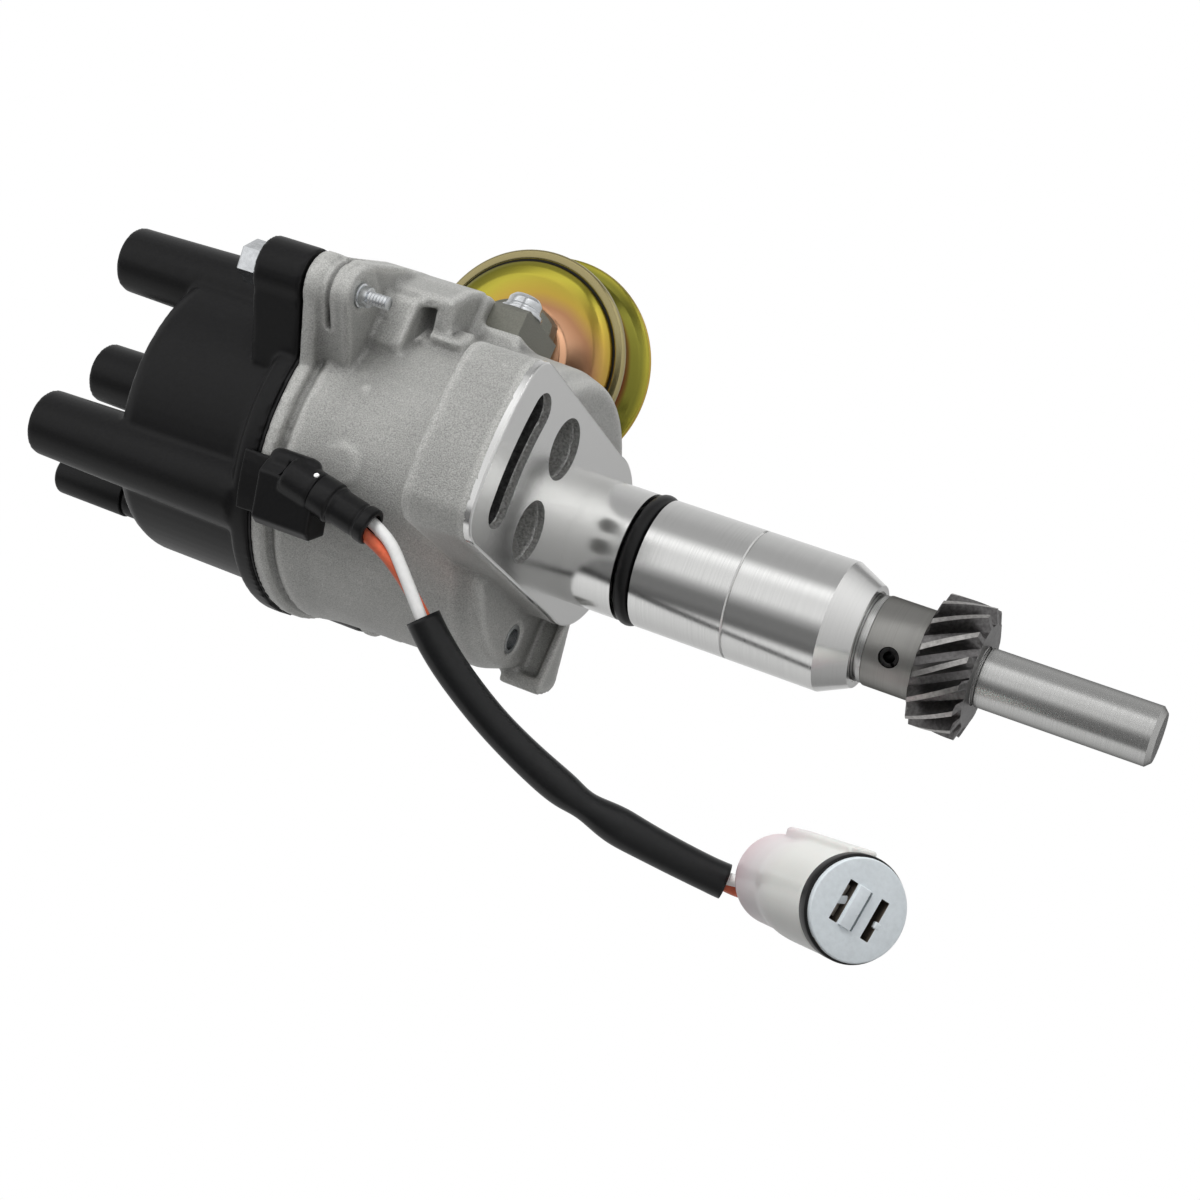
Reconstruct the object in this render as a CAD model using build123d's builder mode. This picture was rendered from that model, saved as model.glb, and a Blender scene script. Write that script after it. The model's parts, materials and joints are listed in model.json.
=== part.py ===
from build123d import *
from math import asin, cos, degrees, radians, sin, sqrt, tan
import os

# Ignition distributor for a four-cylinder engine, in millimetres.
# Origin: on the shaft axis, in the face of the mounting flange that seats on the engine.
# +Z runs up to the cap, -Z down the shank to the drive gear, +X along the flange's arm.

os.makedirs("parts", exist_ok=True)

# ---------------------------------------------------------------- general fits
running_gap = 0.04      # radial clearance of a shaft in its bearing
slip_gap = 0.10         # clearance of a part that is pushed or screwed home
air_gap = 0.30          # clearance between faces that pass each other

# ---------------------------------------------------------------- housing
shank_radius = 13.5
shank_length = 61.45
nose_radius = 10.6
nose_cone_length = 6.2
turned_line_depth = 0.25
turned_line_z = -35.8
oring_section = 3.5
oring_z = -13.3
oring_groove_width = 4.2
oring_stand = 0.0       # the ring is drawn squeezed flush, as in its bore
flange_thickness = 15.0
arm_radius = 60.2       # outer end of the flange's arm, from the shaft axis
arm_half_width = 18.4
arm_corner = 7.0
heel_radius = 18.6      # flange behind the shank
slot_radius = 49.6      # centre line of the timing slot
slot_width = 7.6
slot_half_angle = 11.6
pocket_diameter = 12.6  # cored pockets that lighten the arm
pocket_radius = 33.0
pocket_angle = 15.4
pocket_depth = 11.0
bowl_floor_z = 8.5
bowl_foot_radius = 31.2
bowl_waist_radius = 33.2
bowl_waist_z = 28.0
bowl_top_radius = 34.0
bowl_step_z = 52.0
bowl_step_radius = 35.0
rim_groove_z = 55.0
rim_groove_radius = 33.9
rim_radius = 36.2
rim_z = 59.5            # joint face between the housing and the cap
rim_thickness = 3.0
cavity_floor_z = 14.0
well_radius = 26.6      # room of the governor
ledge_z = 40.0          # seat of the bearing plate
cavity_radius = 31.4

# ears of the two cap screws
ear_radius = 46.8       # screw axis from the shaft axis
ear_angles = (30.0, 210.0)
ear_lobe = 6.6
ear_root_half = 11.5
ear_boss_radius = 5.6
ear_boss_z = 49.5
cap_screw_radius = 2.5
cap_screw_tip_z = 43.0

# block on the side of the housing that carries the vacuum unit
block_x = (-4.0, 18.0)
block_y = 38.6
block_z = (35.0, 57.0)
pad_x = (17.0, 31.0)
pad_y = (17.0, 31.5)
pad_z = (42.5, 54.0)
side_block_azimuth = 46.0   # cast block below the pad
side_block_reach = 36.0
side_block_width = 6.1
side_block_z = (31.7, 43.0)
disc_azimuth = -15.1        # flat disc left by an ejector pin on the bowl
disc_diameter = 8.6
disc_z = 42.8
disc_proud = 0.25

# lug under the bowl and the bushed hole beside it
lug_z = (2.5, 12.0)
lug_front_x = -12.0
lug_recess = 1.6
ear_bush_at = (-3.0, -24.5)
ear_bush_radius = 3.1
ear_bush_bore = 2.3
ear_bush_depth = 3.6

# ---------------------------------------------------------------- shaft and drive gear
shaft_radius = 6.0
shaft_reach = 58.55     # shaft beyond the nose of the housing
shaft_top_z = 54.0
bush_wall = 2.0
lower_bush_length = 18.0
upper_bush_length = 14.0
gear_hub_radius = 9.25
gear_hub_drop = 1.95    # hub face below the nose, room of the thrust washers
gear_hub_length = 10.4
gear_face_width = 11.0
gear_tip_radius = 13.3
gear_tooth_depth = 2.9
gear_teeth = 15
gear_twist = 31.5       # degrees over the face width
shaft_relief = 0.3      # shallow groove that ends the ground lower journal
pin_radius = 2.0
pin_angle = -27.0
washer_radius = 9.0
nose_counterbore_depth = 0.6

# ---------------------------------------------------------------- advance governor
governor_plate_z = 19.0
governor_plate_thickness = 2.0
governor_pivot_radius = 15.5
governor_pin_radius = 1.8
weight_thickness = 5.0
weight_inner_radius = 11.0
weight_outer_radius = 20.0
lever_z = 27.2
lever_thickness = 1.6
cam_radius = 8.0
spring_post_radius = 1.3
spring_plate_post_radius = 21.5
spring_lever_post_radius = 12.5

# ---------------------------------------------------------------- pickup
bearing_plate_thickness = 1.5
pickup_plate_thickness = 1.5
pickup_plate_radius = 27.4
pivot_radius = 12.0
pivot_top_z = 44.6
reluctor_z = 46.6
reluctor_height = 5.0
reluctor_hub_radius = 9.0
reluctor_tip_radius = 12.0
pole_gap = 0.5
pickup_angle = -75.0

# ---------------------------------------------------------------- rotor
rotor_skirt_z = 53.2
rotor_skirt_radius = 11.0
rotor_top_z = 82.0
rotor_reach = 25.2
rotor_width = 13.0
rotor_angle = 49.5
contact_thickness = 1.2

# ---------------------------------------------------------------- cap
cap_skirt_radius = 36.6
cap_skirt_top_z = 65.0
dome_radius = 32.6
dome_top_z = 97.0
dome_corner = 3.2
dome_wall = 3.2
roof_z = 91.5
tower_circle = 29.0
tower_phase = 49.5
tower_top_z = 117.0
tower_tip_radius = 7.15
tower_root_radius = 8.3
centre_tower_top_z = 124.5
centre_tower_tip_radius = 6.7
centre_tower_root_radius = 7.2
socket_radius = 4.2
socket_depth = 16.0
slim_tower_radius = 4.6
slim_bore = 3.1
sleeve_collar_radius = 5.2
slim_tip_z = 136.0
cap_ear_top_z = 71.2
terminal_circle = 28.4
terminal_radius = 2.2
terminal_bottom_z = 79.0
terminal_head_radius = 3.2
terminal_head_height = 3.0
brush_radius = 2.2
brush_spring_length = 7.0
centre_terminal_height = 4.5
gasket_thickness = 0.6

# ---------------------------------------------------------------- vacuum unit
can_azimuth = 165.0     # direction in which the unit pulls
can_offset = 32.1       # its axis from the shaft axis
can_z = 44.5
can_face_start = 33.0
front_rim_at = 38.4
front_rim_radius = 24.7
rear_rim_at = 52.6
rear_rim_radius = 25.6
can_waist_radius = 21.0
can_wall = 1.1
nipple_radius = 3.0
nipple_length = 14.9
bracket_x = (-24.0, 15.2)
bracket_y = (29.5, 38.6)
bracket_z = (27.0, 35.0)
clamp_screw_x = 9.6
clamp_screw_z = 31.0
rod_width = 4.0
rod_thickness = 1.6
rod_pin_radius = 1.5
rod_pin_circle = 25.0
vacuum_stroke = 5.0

# ---------------------------------------------------------------- lead
wire_radius = 1.25
wire_spread = 1.36
sleeve_radius = 3.5
sleeve_bore = 2.9
boot_radius = 3.6
boot_azimuth = -28.6
grommet_z = (45.6, 59.2)
plug_radius = 9.8
plug_length = 38.0


def at_angle(radius, angle, z=0.0):
    """A point given by its radius and angle about the shaft axis."""
    return (radius * cos(radians(angle)), radius * sin(radians(angle)), z)


def save(piece, name):
    """Label a finished piece and write it as the node of that name."""
    piece.label = name
    export_step(piece, "parts/" + name + ".step")
    solids = piece.solids()
    print(f"{name:24s} solids {len(solids):2d}  volume {sum(s.volume for s in solids):10.1f}")


def ring(outer, inner, bottom, top):
    """Profile of a plain ring about Z, ready to be revolved."""
    middle = Plane(origin=((outer + inner) / 2, 0, (bottom + top) / 2), x_dir=(1, 0, 0), z_dir=(0, -1, 0))
    return Face.make_rect(outer - inner, top - bottom, middle)


def polar_plane(angle, radius, z):
    """A plane whose normal points outward at an angle about the shaft axis."""
    x, y, height = at_angle(radius, angle, z)
    return Plane(origin=(x, y, height), x_dir=(0, 0, 1), z_dir=(cos(radians(angle)), sin(radians(angle)), 0))


can_dir = (cos(radians(can_azimuth)), sin(radians(can_azimuth)), 0.0)
can_out = (sin(radians(can_azimuth)), -cos(radians(can_azimuth)), 0.0)


def can_plane(distance, offset=can_offset):
    """A plane across the vacuum unit's axis: local x points away from the shaft, local y down."""
    x = can_out[0] * offset + can_dir[0] * distance
    y = can_out[1] * offset + can_dir[1] * distance
    return Plane(origin=(x, y, can_z), x_dir=can_out, z_dir=can_dir)


# ================================================================ housing
lower_bush_z = (-shank_length + nose_counterbore_depth, -shank_length + nose_counterbore_depth + lower_bush_length)
upper_bush_z = (cavity_floor_z - upper_bush_length, cavity_floor_z)
bush_radius = shaft_radius + running_gap + bush_wall
oring_groove_radius = shank_radius + oring_stand - oring_section
groove_low = oring_z - oring_groove_width / 2
groove_high = oring_z + oring_groove_width / 2

with BuildPart() as housing:
    with BuildSketch(Plane.XY):
        with BuildLine():
            tip_x = sqrt(arm_radius**2 - arm_half_width**2)
            Line((0, -arm_half_width), (tip_x, -arm_half_width))
            ThreePointArc((tip_x, -arm_half_width), (arm_radius, 0), (tip_x, arm_half_width))
            Line((tip_x, arm_half_width), (0, arm_half_width))
            Line((0, arm_half_width), (0, -arm_half_width))
        make_face()
        fillet([v for v in vertices() if v.X > 30], arm_corner)
        Circle(heel_radius)
    extrude(amount=flange_thickness)
    # bowl and shank as one turned body
    with BuildSketch(Plane.XZ):
        with BuildLine():
            Polyline(
                (0, -shank_length),
                (nose_radius, -shank_length),
                (shank_radius, -shank_length + nose_cone_length),
                (shank_radius, turned_line_z - 0.3),
                (shank_radius - turned_line_depth, turned_line_z),
                (shank_radius, turned_line_z + 0.3),
                (shank_radius, groove_low),
                (oring_groove_radius, groove_low),
                (oring_groove_radius, groove_high),
                (shank_radius, groove_high),
                (shank_radius, 1.0),
                (shank_radius + 1.0, bowl_floor_z),
                (bowl_foot_radius - 1.2, bowl_floor_z),
                (bowl_foot_radius, bowl_floor_z + 1.2),
                (bowl_foot_radius + 1.4, cavity_floor_z),
                (bowl_waist_radius, bowl_waist_z),
                (bowl_top_radius, 48.0),
                (bowl_step_radius - 0.3, bowl_step_z),
                (bowl_step_radius, rim_groove_z - 0.6),
                (rim_groove_radius, rim_groove_z),
                (rim_groove_radius, rim_z - rim_thickness - 0.3),
                (rim_radius - 0.4, rim_z - rim_thickness),
                (rim_radius, rim_z - rim_thickness + 0.4),
                (rim_radius, rim_z),
                (0, rim_z),
                (0, -shank_length),
            )
        make_face()
    revolve(axis=Axis.Z)
    # ears of the cap screws: a thin lobe at the joint face and a boss below it
    for ear_angle in ear_angles:
        ear_plane = Plane(origin=(0, 0, ear_boss_z), x_dir=at_angle(1, ear_angle), z_dir=(0, 0, 1))
        with BuildSketch(ear_plane):
            with BuildLine():
                Polyline(
                    (bowl_top_radius - 6, -ear_root_half + 2.5),
                    (ear_radius, -ear_boss_radius),
                    (ear_radius, ear_boss_radius),
                    (bowl_top_radius - 6, ear_root_half - 2.5),
                    (bowl_top_radius - 6, -ear_root_half + 2.5),
                )
            make_face()
            with Locations((ear_radius, 0)):
                Circle(ear_boss_radius)
        extrude(amount=rim_z - ear_boss_z)
        with BuildSketch(ear_plane.offset(rim_z - ear_boss_z - rim_thickness)):
            with BuildLine():
                Polyline(
                    (rim_groove_radius - 3, -ear_root_half - 0.8),
                    (ear_radius, -ear_lobe),
                    (ear_radius, ear_lobe),
                    (rim_groove_radius - 3, ear_root_half + 0.8),
                    (rim_groove_radius - 3, -ear_root_half - 0.8),
                )
            make_face()
            with Locations((ear_radius, 0)):
                Circle(ear_lobe)
        extrude(amount=rim_thickness)
    # block of the vacuum unit, with the lower pad beside the first ear
    with BuildSketch(Plane.XY.offset(block_z[0])):
        with BuildLine():
            Polyline(
                (block_x[0] - 14.0, 22.0),
                (block_x[1], 22.0),
                (block_x[1], block_y - 1.5),
                (block_x[1] - 1.5, block_y),
                (block_x[0] - 6.0, block_y),
                (block_x[0] - 14.0, block_y - 3.0),
                (block_x[0] - 14.0, 22.0),
            )
        make_face()
    extrude(amount=block_z[1] - block_z[0])
    with BuildSketch(Plane.XY.offset(pad_z[0])):
        with BuildLine():
            Polyline(
                (pad_x[0] - 3, pad_y[0]),
                (pad_x[1] - 1.0, pad_y[0]),
                (pad_x[1], pad_y[0] + 1.5),
                (pad_x[1], pad_y[1] - 3.0),
                (pad_x[1] - 3.0, pad_y[1]),
                (pad_x[0] - 3, pad_y[1]),
                (pad_x[0] - 3, pad_y[0]),
            )
        make_face()
    extrude(amount=pad_z[1] - pad_z[0] + 4)
    side_block_plane = Plane(
        origin=(0, 0, side_block_z[0]), x_dir=at_angle(1, side_block_azimuth), z_dir=(0, 0, 1)
    )
    with BuildSketch(side_block_plane):
        with Locations((side_block_reach - 2.0, 0)):
            Rectangle(4.0, side_block_width)
    extrude(amount=side_block_z[1] - side_block_z[0])
    with BuildSketch(polar_plane(disc_azimuth, cavity_radius + 1.0, disc_z)):
        Circle(disc_diameter / 2)
    extrude(amount=bowl_top_radius - 0.3 + disc_proud - cavity_radius - 1.0)
    # flat seat for the bracket
    with BuildSketch(Plane.XY.offset(bracket_z[0] - 1.5)):
        with Locations(((bracket_x[1] - 9.0) / 2 + 0.6, 28.5)):
            Rectangle(bracket_x[1] + 9.0 + 1.2, 8.0)
    extrude(amount=block_z[0] - bracket_z[0] + 1.5)
    # lug under the bowl
    with BuildSketch(Plane.XY.offset(lug_z[0])):
        with BuildLine():
            Polyline(
                (lug_front_x, -12.0),
                (lug_front_x - 2.5, -15.5),
                (lug_front_x - 8.2, -28.0),
                (lug_front_x - 6.6, -30.2),
                (lug_front_x - 3.0, -31.8),
                (lug_front_x, -32.6),
                (lug_front_x, -12.0),
            )
        make_face()
    extrude(amount=lug_z[1] - lug_z[0])
    with BuildSketch(Plane.XY.offset(lug_z[0] + 1.6)):
        with Locations((lug_front_x, -22.6)):
            Rectangle(2 * lug_recess, 13.2)
    extrude(amount=bowl_floor_z - lug_z[0] - 1.6, mode=Mode.SUBTRACT)
    with Locations((ear_bush_at[0], ear_bush_at[1], bowl_floor_z)):
        Cylinder(
            ear_bush_radius,
            ear_bush_depth,
            align=(Align.CENTER, Align.CENTER, Align.MIN),
            mode=Mode.SUBTRACT,
        )
    # cavity, bearing seats and bore
    with BuildSketch(Plane.XZ):
        with BuildLine():
            Polyline(
                (0, -shank_length),
                (washer_radius + 0.4, -shank_length),
                (washer_radius + 0.4, lower_bush_z[0]),
                (bush_radius, lower_bush_z[0]),
                (bush_radius, lower_bush_z[1]),
                (bush_radius + 0.6, lower_bush_z[1] + 0.6),
                (bush_radius + 0.6, upper_bush_z[0] - 0.6),
                (bush_radius, upper_bush_z[0]),
                (bush_radius, cavity_floor_z),
                (well_radius, cavity_floor_z),
                (well_radius, ledge_z),
                (cavity_radius, ledge_z),
                (cavity_radius, rim_z),
                (0, rim_z),
                (0, -shank_length),
            )
        make_face()
    revolve(axis=Axis.Z, mode=Mode.SUBTRACT)
    # timing slot and the two cored pockets in the arm
    with BuildSketch(Plane.XY):
        SlotArc(CenterArc((0, 0), slot_radius, -slot_half_angle, 2 * slot_half_angle), slot_width)
    extrude(amount=flange_thickness, mode=Mode.SUBTRACT)
    with BuildSketch(Plane.XY):
        with Locations(
            at_angle(pocket_radius, pocket_angle)[:2],
            at_angle(pocket_radius, -pocket_angle)[:2],
        ):
            Circle(pocket_diameter / 2)
    extrude(amount=pocket_depth, mode=Mode.SUBTRACT)
    # threaded holes of the cap screws
    with BuildSketch(Plane.XY.offset(ear_boss_z)):
        with Locations(*[at_angle(ear_radius, a)[:2] for a in ear_angles]):
            Circle(cap_screw_radius)
    extrude(amount=rim_z - ear_boss_z, mode=Mode.SUBTRACT)
    # seat of the bracket, its screw hole and the channel of the pull rod
    with BuildSketch(Plane.XY.offset(bracket_z[0])):
        with Locations(((bracket_x[0] + bracket_x[1]) / 2 - 10, bracket_y[0] + 10)):
            Rectangle(bracket_x[1] - bracket_x[0] + 20, 20)
    extrude(amount=bracket_z[1] - bracket_z[0], mode=Mode.SUBTRACT)
    with BuildSketch(Plane.XZ.offset(-bracket_y[0])):
        with Locations((clamp_screw_x, clamp_screw_z)):
            Circle(2.0)
    extrude(amount=3.2, mode=Mode.SUBTRACT)
    with BuildSketch(can_plane(-9.0, 28.4)):
        Rectangle(13.0, 5.4)
    extrude(amount=44.0, mode=Mode.SUBTRACT)
    # tapped holes of the bearing plate
    with BuildSketch(Plane.XY.offset(ledge_z - 5)):
        with PolarLocations(29.0, 2, start_angle=120):
            Circle(1.25)
    extrude(amount=5, mode=Mode.SUBTRACT)
    # window of the lead
    with BuildSketch(polar_plane(boot_azimuth, cavity_radius - 2, (grommet_z[0] + rim_z) / 2 + 0.5)):
        with Locations((2.0, 0)):
            Rectangle(rim_z - grommet_z[0] - 1.5, 9.0)
    extrude(amount=8, mode=Mode.SUBTRACT)
save(housing.part, "housing")

# ================================================================ static trim of the housing
with BuildPart() as o_ring:
    with BuildSketch(Plane.XZ):
        with Locations((oring_groove_radius + oring_section / 2, oring_z)):
            Circle(oring_section / 2)
    revolve(axis=Axis.Z)
save(o_ring.part, "o_ring")

with BuildPart() as lower_bush:
    revolve(ring(bush_radius, shaft_radius + running_gap, lower_bush_z[0], lower_bush_z[1]), axis=Axis.Z)
save(lower_bush.part, "lower_bush")

with BuildPart() as upper_bush:
    revolve(ring(bush_radius, shaft_radius + running_gap, upper_bush_z[0], upper_bush_z[1]), axis=Axis.Z)
save(upper_bush.part, "upper_bush")

with BuildPart() as ear_bush:
    with Locations((ear_bush_at[0], ear_bush_at[1], bowl_floor_z + 0.2)):
        Cylinder(ear_bush_radius, ear_bush_depth - 0.2, align=(Align.CENTER, Align.CENTER, Align.MIN))
        Cylinder(
            ear_bush_bore,
            ear_bush_depth - 0.2,
            align=(Align.CENTER, Align.CENTER, Align.MIN),
            mode=Mode.SUBTRACT,
        )
save(ear_bush.part, "ear_bush")

# ================================================================ cap
cap_z = rim_z + gasket_thickness
with BuildPart() as cap_gasket:
    revolve(ring(rim_radius - 0.2, cavity_radius + 0.2, rim_z, cap_z), axis=Axis.Z)
    with BuildSketch(polar_plane(boot_azimuth, cavity_radius - 2, rim_z)):
        Rectangle(3.0, 9.0)
    extrude(amount=8, mode=Mode.SUBTRACT)
save(cap_gasket.part, "cap_gasket")

dome_bore = dome_radius - dome_wall
tower_angles = (tower_phase, tower_phase - 90, tower_phase + 90)
slim_angle = tower_phase + 180
tower_places = [at_angle(tower_circle, a)[:2] for a in tower_angles]
slim_place = at_angle(tower_circle, slim_angle)[:2]
socket_floor_z = tower_top_z - socket_depth
centre_socket_z = centre_tower_top_z - socket_depth
brush_spring_top_z = centre_socket_z - centre_terminal_height
brush_top_z = brush_spring_top_z - brush_spring_length
with BuildPart() as distributor_cap:
    with BuildSketch(Plane.XZ):
        with BuildLine():
            Polyline(
                (0, dome_top_z),
                (0, cap_z),
                (cap_skirt_radius, cap_z),
                (cap_skirt_radius, cap_skirt_top_z - 1.2),
                (cap_skirt_radius - 1.2, cap_skirt_top_z),
                (dome_radius + 0.8, cap_skirt_top_z + 0.6),
                (dome_radius, cap_skirt_top_z + 2.0),
                (dome_radius - 0.2, dome_top_z - dome_corner),
                (dome_radius - 1.1, dome_top_z - 1.0),
                (dome_radius - dome_corner, dome_top_z),
                (0, dome_top_z),
            )
        make_face()
    revolve(axis=Axis.Z)
    for ear_angle in ear_angles:
        with BuildSketch(Plane(origin=(0, 0, cap_z), x_dir=at_angle(1, ear_angle), z_dir=(0, 0, 1))):
            with BuildLine():
                Polyline(
                    (dome_radius - 4, -ear_root_half - 0.8),
                    (ear_radius, -ear_lobe),
                    (ear_radius, ear_lobe),
                    (dome_radius - 4, ear_root_half + 0.8),
                    (dome_radius - 4, -ear_root_half - 0.8),
                )
            make_face()
            with Locations((ear_radius, 0)):
                Circle(ear_lobe)
        extrude(amount=cap_ear_top_z - cap_z)
    with Locations(*[(x, y, cap_skirt_top_z - 0.5) for x, y in tower_places]):
        Cone(
            tower_root_radius,
            tower_tip_radius,
            tower_top_z - cap_skirt_top_z + 0.5,
            align=(Align.CENTER, Align.CENTER, Align.MIN),
        )
    with BuildSketch(Plane.XY.offset(cap_skirt_top_z)):
        with Locations(slim_place):
            Circle(slim_tower_radius)
    extrude(amount=tower_top_z - cap_skirt_top_z)
    with Locations((0, 0, dome_top_z - 1)):
        Cone(
            centre_tower_root_radius,
            centre_tower_tip_radius,
            centre_tower_top_z - dome_top_z + 1,
            align=(Align.CENTER, Align.CENTER, Align.MIN),
        )
    # inside of the cap
    with BuildSketch(Plane.XZ):
        with BuildLine():
            Polyline(
                (0, cap_z - 1),
                (dome_bore, cap_z - 1),
                (dome_bore, roof_z - 1.5),
                (dome_bore - 1.5, roof_z),
                (0, roof_z),
                (0, cap_z - 1),
            )
        make_face()
    revolve(axis=Axis.Z, mode=Mode.SUBTRACT)
    # locating spigot inside the housing
    revolve(ring(cavity_radius - slip_gap, dome_bore, cap_z - 2.6, cap_z + 0.5), axis=Axis.Z)
    with BuildSketch(Plane.XY.offset(tower_top_z)):
        with Locations(*tower_places):
            Circle(socket_radius)
    extrude(amount=-socket_depth, mode=Mode.SUBTRACT)
    with BuildSketch(Plane.XY.offset(tower_top_z)):
        with Locations(slim_place):
            Circle(slim_bore)
    extrude(amount=-socket_depth, mode=Mode.SUBTRACT)
    with BuildSketch(Plane.XY.offset(centre_tower_top_z)):
        Circle(socket_radius)
    extrude(amount=-socket_depth, mode=Mode.SUBTRACT)
    with BuildSketch(Plane.XY.offset(terminal_bottom_z - 2)):
        with PolarLocations(terminal_circle, 4, start_angle=tower_phase):
            Circle(terminal_radius)
    extrude(amount=socket_floor_z - terminal_bottom_z + 2, mode=Mode.SUBTRACT)
    with BuildSketch(Plane.XY.offset(socket_floor_z)):
        with Locations(*tower_places):
            Circle(terminal_head_radius)
    extrude(amount=-terminal_head_height, mode=Mode.SUBTRACT)
    with BuildSketch(Plane.XY.offset(brush_spring_top_z)):
        Circle(3.4)
    extrude(amount=centre_socket_z - brush_spring_top_z, mode=Mode.SUBTRACT)
    with BuildSketch(Plane.XY.offset(roof_z)):
        Circle(brush_radius + slip_gap)
    extrude(amount=brush_spring_top_z - roof_z, mode=Mode.SUBTRACT)
    with BuildSketch(Plane.XY.offset(cap_z)):
        with Locations(*[at_angle(ear_radius, a)[:2] for a in ear_angles]):
            Circle(cap_screw_radius + slip_gap)
    extrude(amount=cap_ear_top_z - cap_z, mode=Mode.SUBTRACT)
    # relief above the lead's window
    with BuildSketch(polar_plane(boot_azimuth, dome_bore - 1, cap_z - 1.4)):
        Rectangle(2.8, 9.4)
    extrude(amount=cavity_radius - dome_bore + 2, mode=Mode.SUBTRACT)
save(distributor_cap.part, "distributor_cap")

with BuildPart() as tower_sleeve:
    with BuildSketch(Plane.XZ):
        with BuildLine():
            Polyline(
                (2.6, tower_top_z),
                (sleeve_collar_radius, tower_top_z),
                (sleeve_collar_radius, tower_top_z + 1.4),
                (slim_tower_radius, tower_top_z + 2.2),
                (slim_tower_radius - 0.1, slim_tip_z - 0.8),
                (slim_tower_radius - 0.9, slim_tip_z),
                (2.6, slim_tip_z),
                (2.6, tower_top_z),
            )
        make_face()
    revolve(axis=Axis.Z)
tower_sleeve_part = tower_sleeve.part.moved(Location((slim_place[0], slim_place[1], 0)))
save(tower_sleeve_part, "tower_sleeve")

with BuildPart() as plug_terminals:
    with BuildSketch(Plane.XY.offset(terminal_bottom_z)):
        with PolarLocations(terminal_circle, 4, start_angle=tower_phase):
            Circle(terminal_radius)
    extrude(amount=socket_floor_z - terminal_bottom_z)
    with BuildSketch(Plane.XY.offset(socket_floor_z)):
        with Locations(*tower_places):
            Circle(terminal_head_radius)
    extrude(amount=-terminal_head_height)
save(plug_terminals.part, "plug_terminals")

with BuildPart() as centre_terminal:
    with BuildSketch(Plane.XY.offset(brush_spring_top_z)):
        Circle(3.4)
    extrude(amount=centre_socket_z - brush_spring_top_z)
save(centre_terminal.part, "centre_terminal")

with BuildPart() as cap_screws:
    with BuildSketch(Plane.XY.offset(cap_screw_tip_z)):
        with Locations(*[at_angle(ear_radius, a)[:2] for a in ear_angles]):
            Circle(cap_screw_radius)
    extrude(amount=cap_ear_top_z + 1.2 - cap_screw_tip_z)
    with BuildSketch(Plane.XY.offset(cap_ear_top_z + 1.2)):
        with Locations(*[at_angle(ear_radius, a)[:2] for a in ear_angles]):
            RegularPolygon(4.6, 6)
    extrude(amount=4.2)
save(cap_screws.part, "cap_screws")

with BuildPart() as cap_screw_washers:
    with BuildSketch(Plane.XY.offset(cap_ear_top_z)):
        with Locations(*[at_angle(ear_radius, a)[:2] for a in ear_angles]):
            Circle(5.2)
            Circle(cap_screw_radius, mode=Mode.SUBTRACT)
    extrude(amount=1.2)
save(cap_screw_washers.part, "cap_screw_washers")

with BuildPart() as carbon_brush:
    with BuildSketch(Plane.XY.offset(rotor_top_z + contact_thickness)):
        Circle(brush_radius)
    extrude(amount=brush_top_z - rotor_top_z - contact_thickness)
save(carbon_brush.part, "carbon_brush")

with BuildPart() as brush_spring:
    revolve(ring(1.9, 1.3, brush_top_z, brush_spring_top_z), axis=Axis.Z)
save(brush_spring.part, "brush_spring")

# ================================================================ shaft, gear and thrust washers
shaft_end_z = -shank_length - shaft_reach
gear_hub_top_z = -shank_length - gear_hub_drop
gear_top_z = gear_hub_top_z - gear_hub_length
gear_low_z = gear_top_z - gear_face_width
pin_z = gear_hub_top_z - gear_hub_length / 2
pin_dir = at_angle(1, pin_angle)
with BuildPart() as drive_shaft:
    with BuildSketch(Plane.XZ):
        with BuildLine():
            Polyline(
                (0, shaft_end_z),
                (shaft_radius - 1.0, shaft_end_z),
                (shaft_radius, shaft_end_z + 1.0),
                (shaft_radius, gear_low_z - 0.8),
                (shaft_radius - shaft_relief, gear_low_z - 0.5),
                (shaft_radius - shaft_relief, gear_low_z),
                (shaft_radius, gear_low_z + 0.3),
                (shaft_radius, shaft_top_z + 0.1),
                (2.5, shaft_top_z + 0.1),
                (2.5, shaft_top_z - 12),
                (0, shaft_top_z - 12),
                (0, shaft_end_z),
            )
        make_face()
    revolve(axis=Axis.Z)
    with BuildSketch(Plane(origin=(0, 0, pin_z), x_dir=(0, 0, 1), z_dir=pin_dir)):
        Circle(pin_radius)
    extrude(amount=10, both=True, mode=Mode.SUBTRACT)
save(drive_shaft.part, "drive_shaft")

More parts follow.
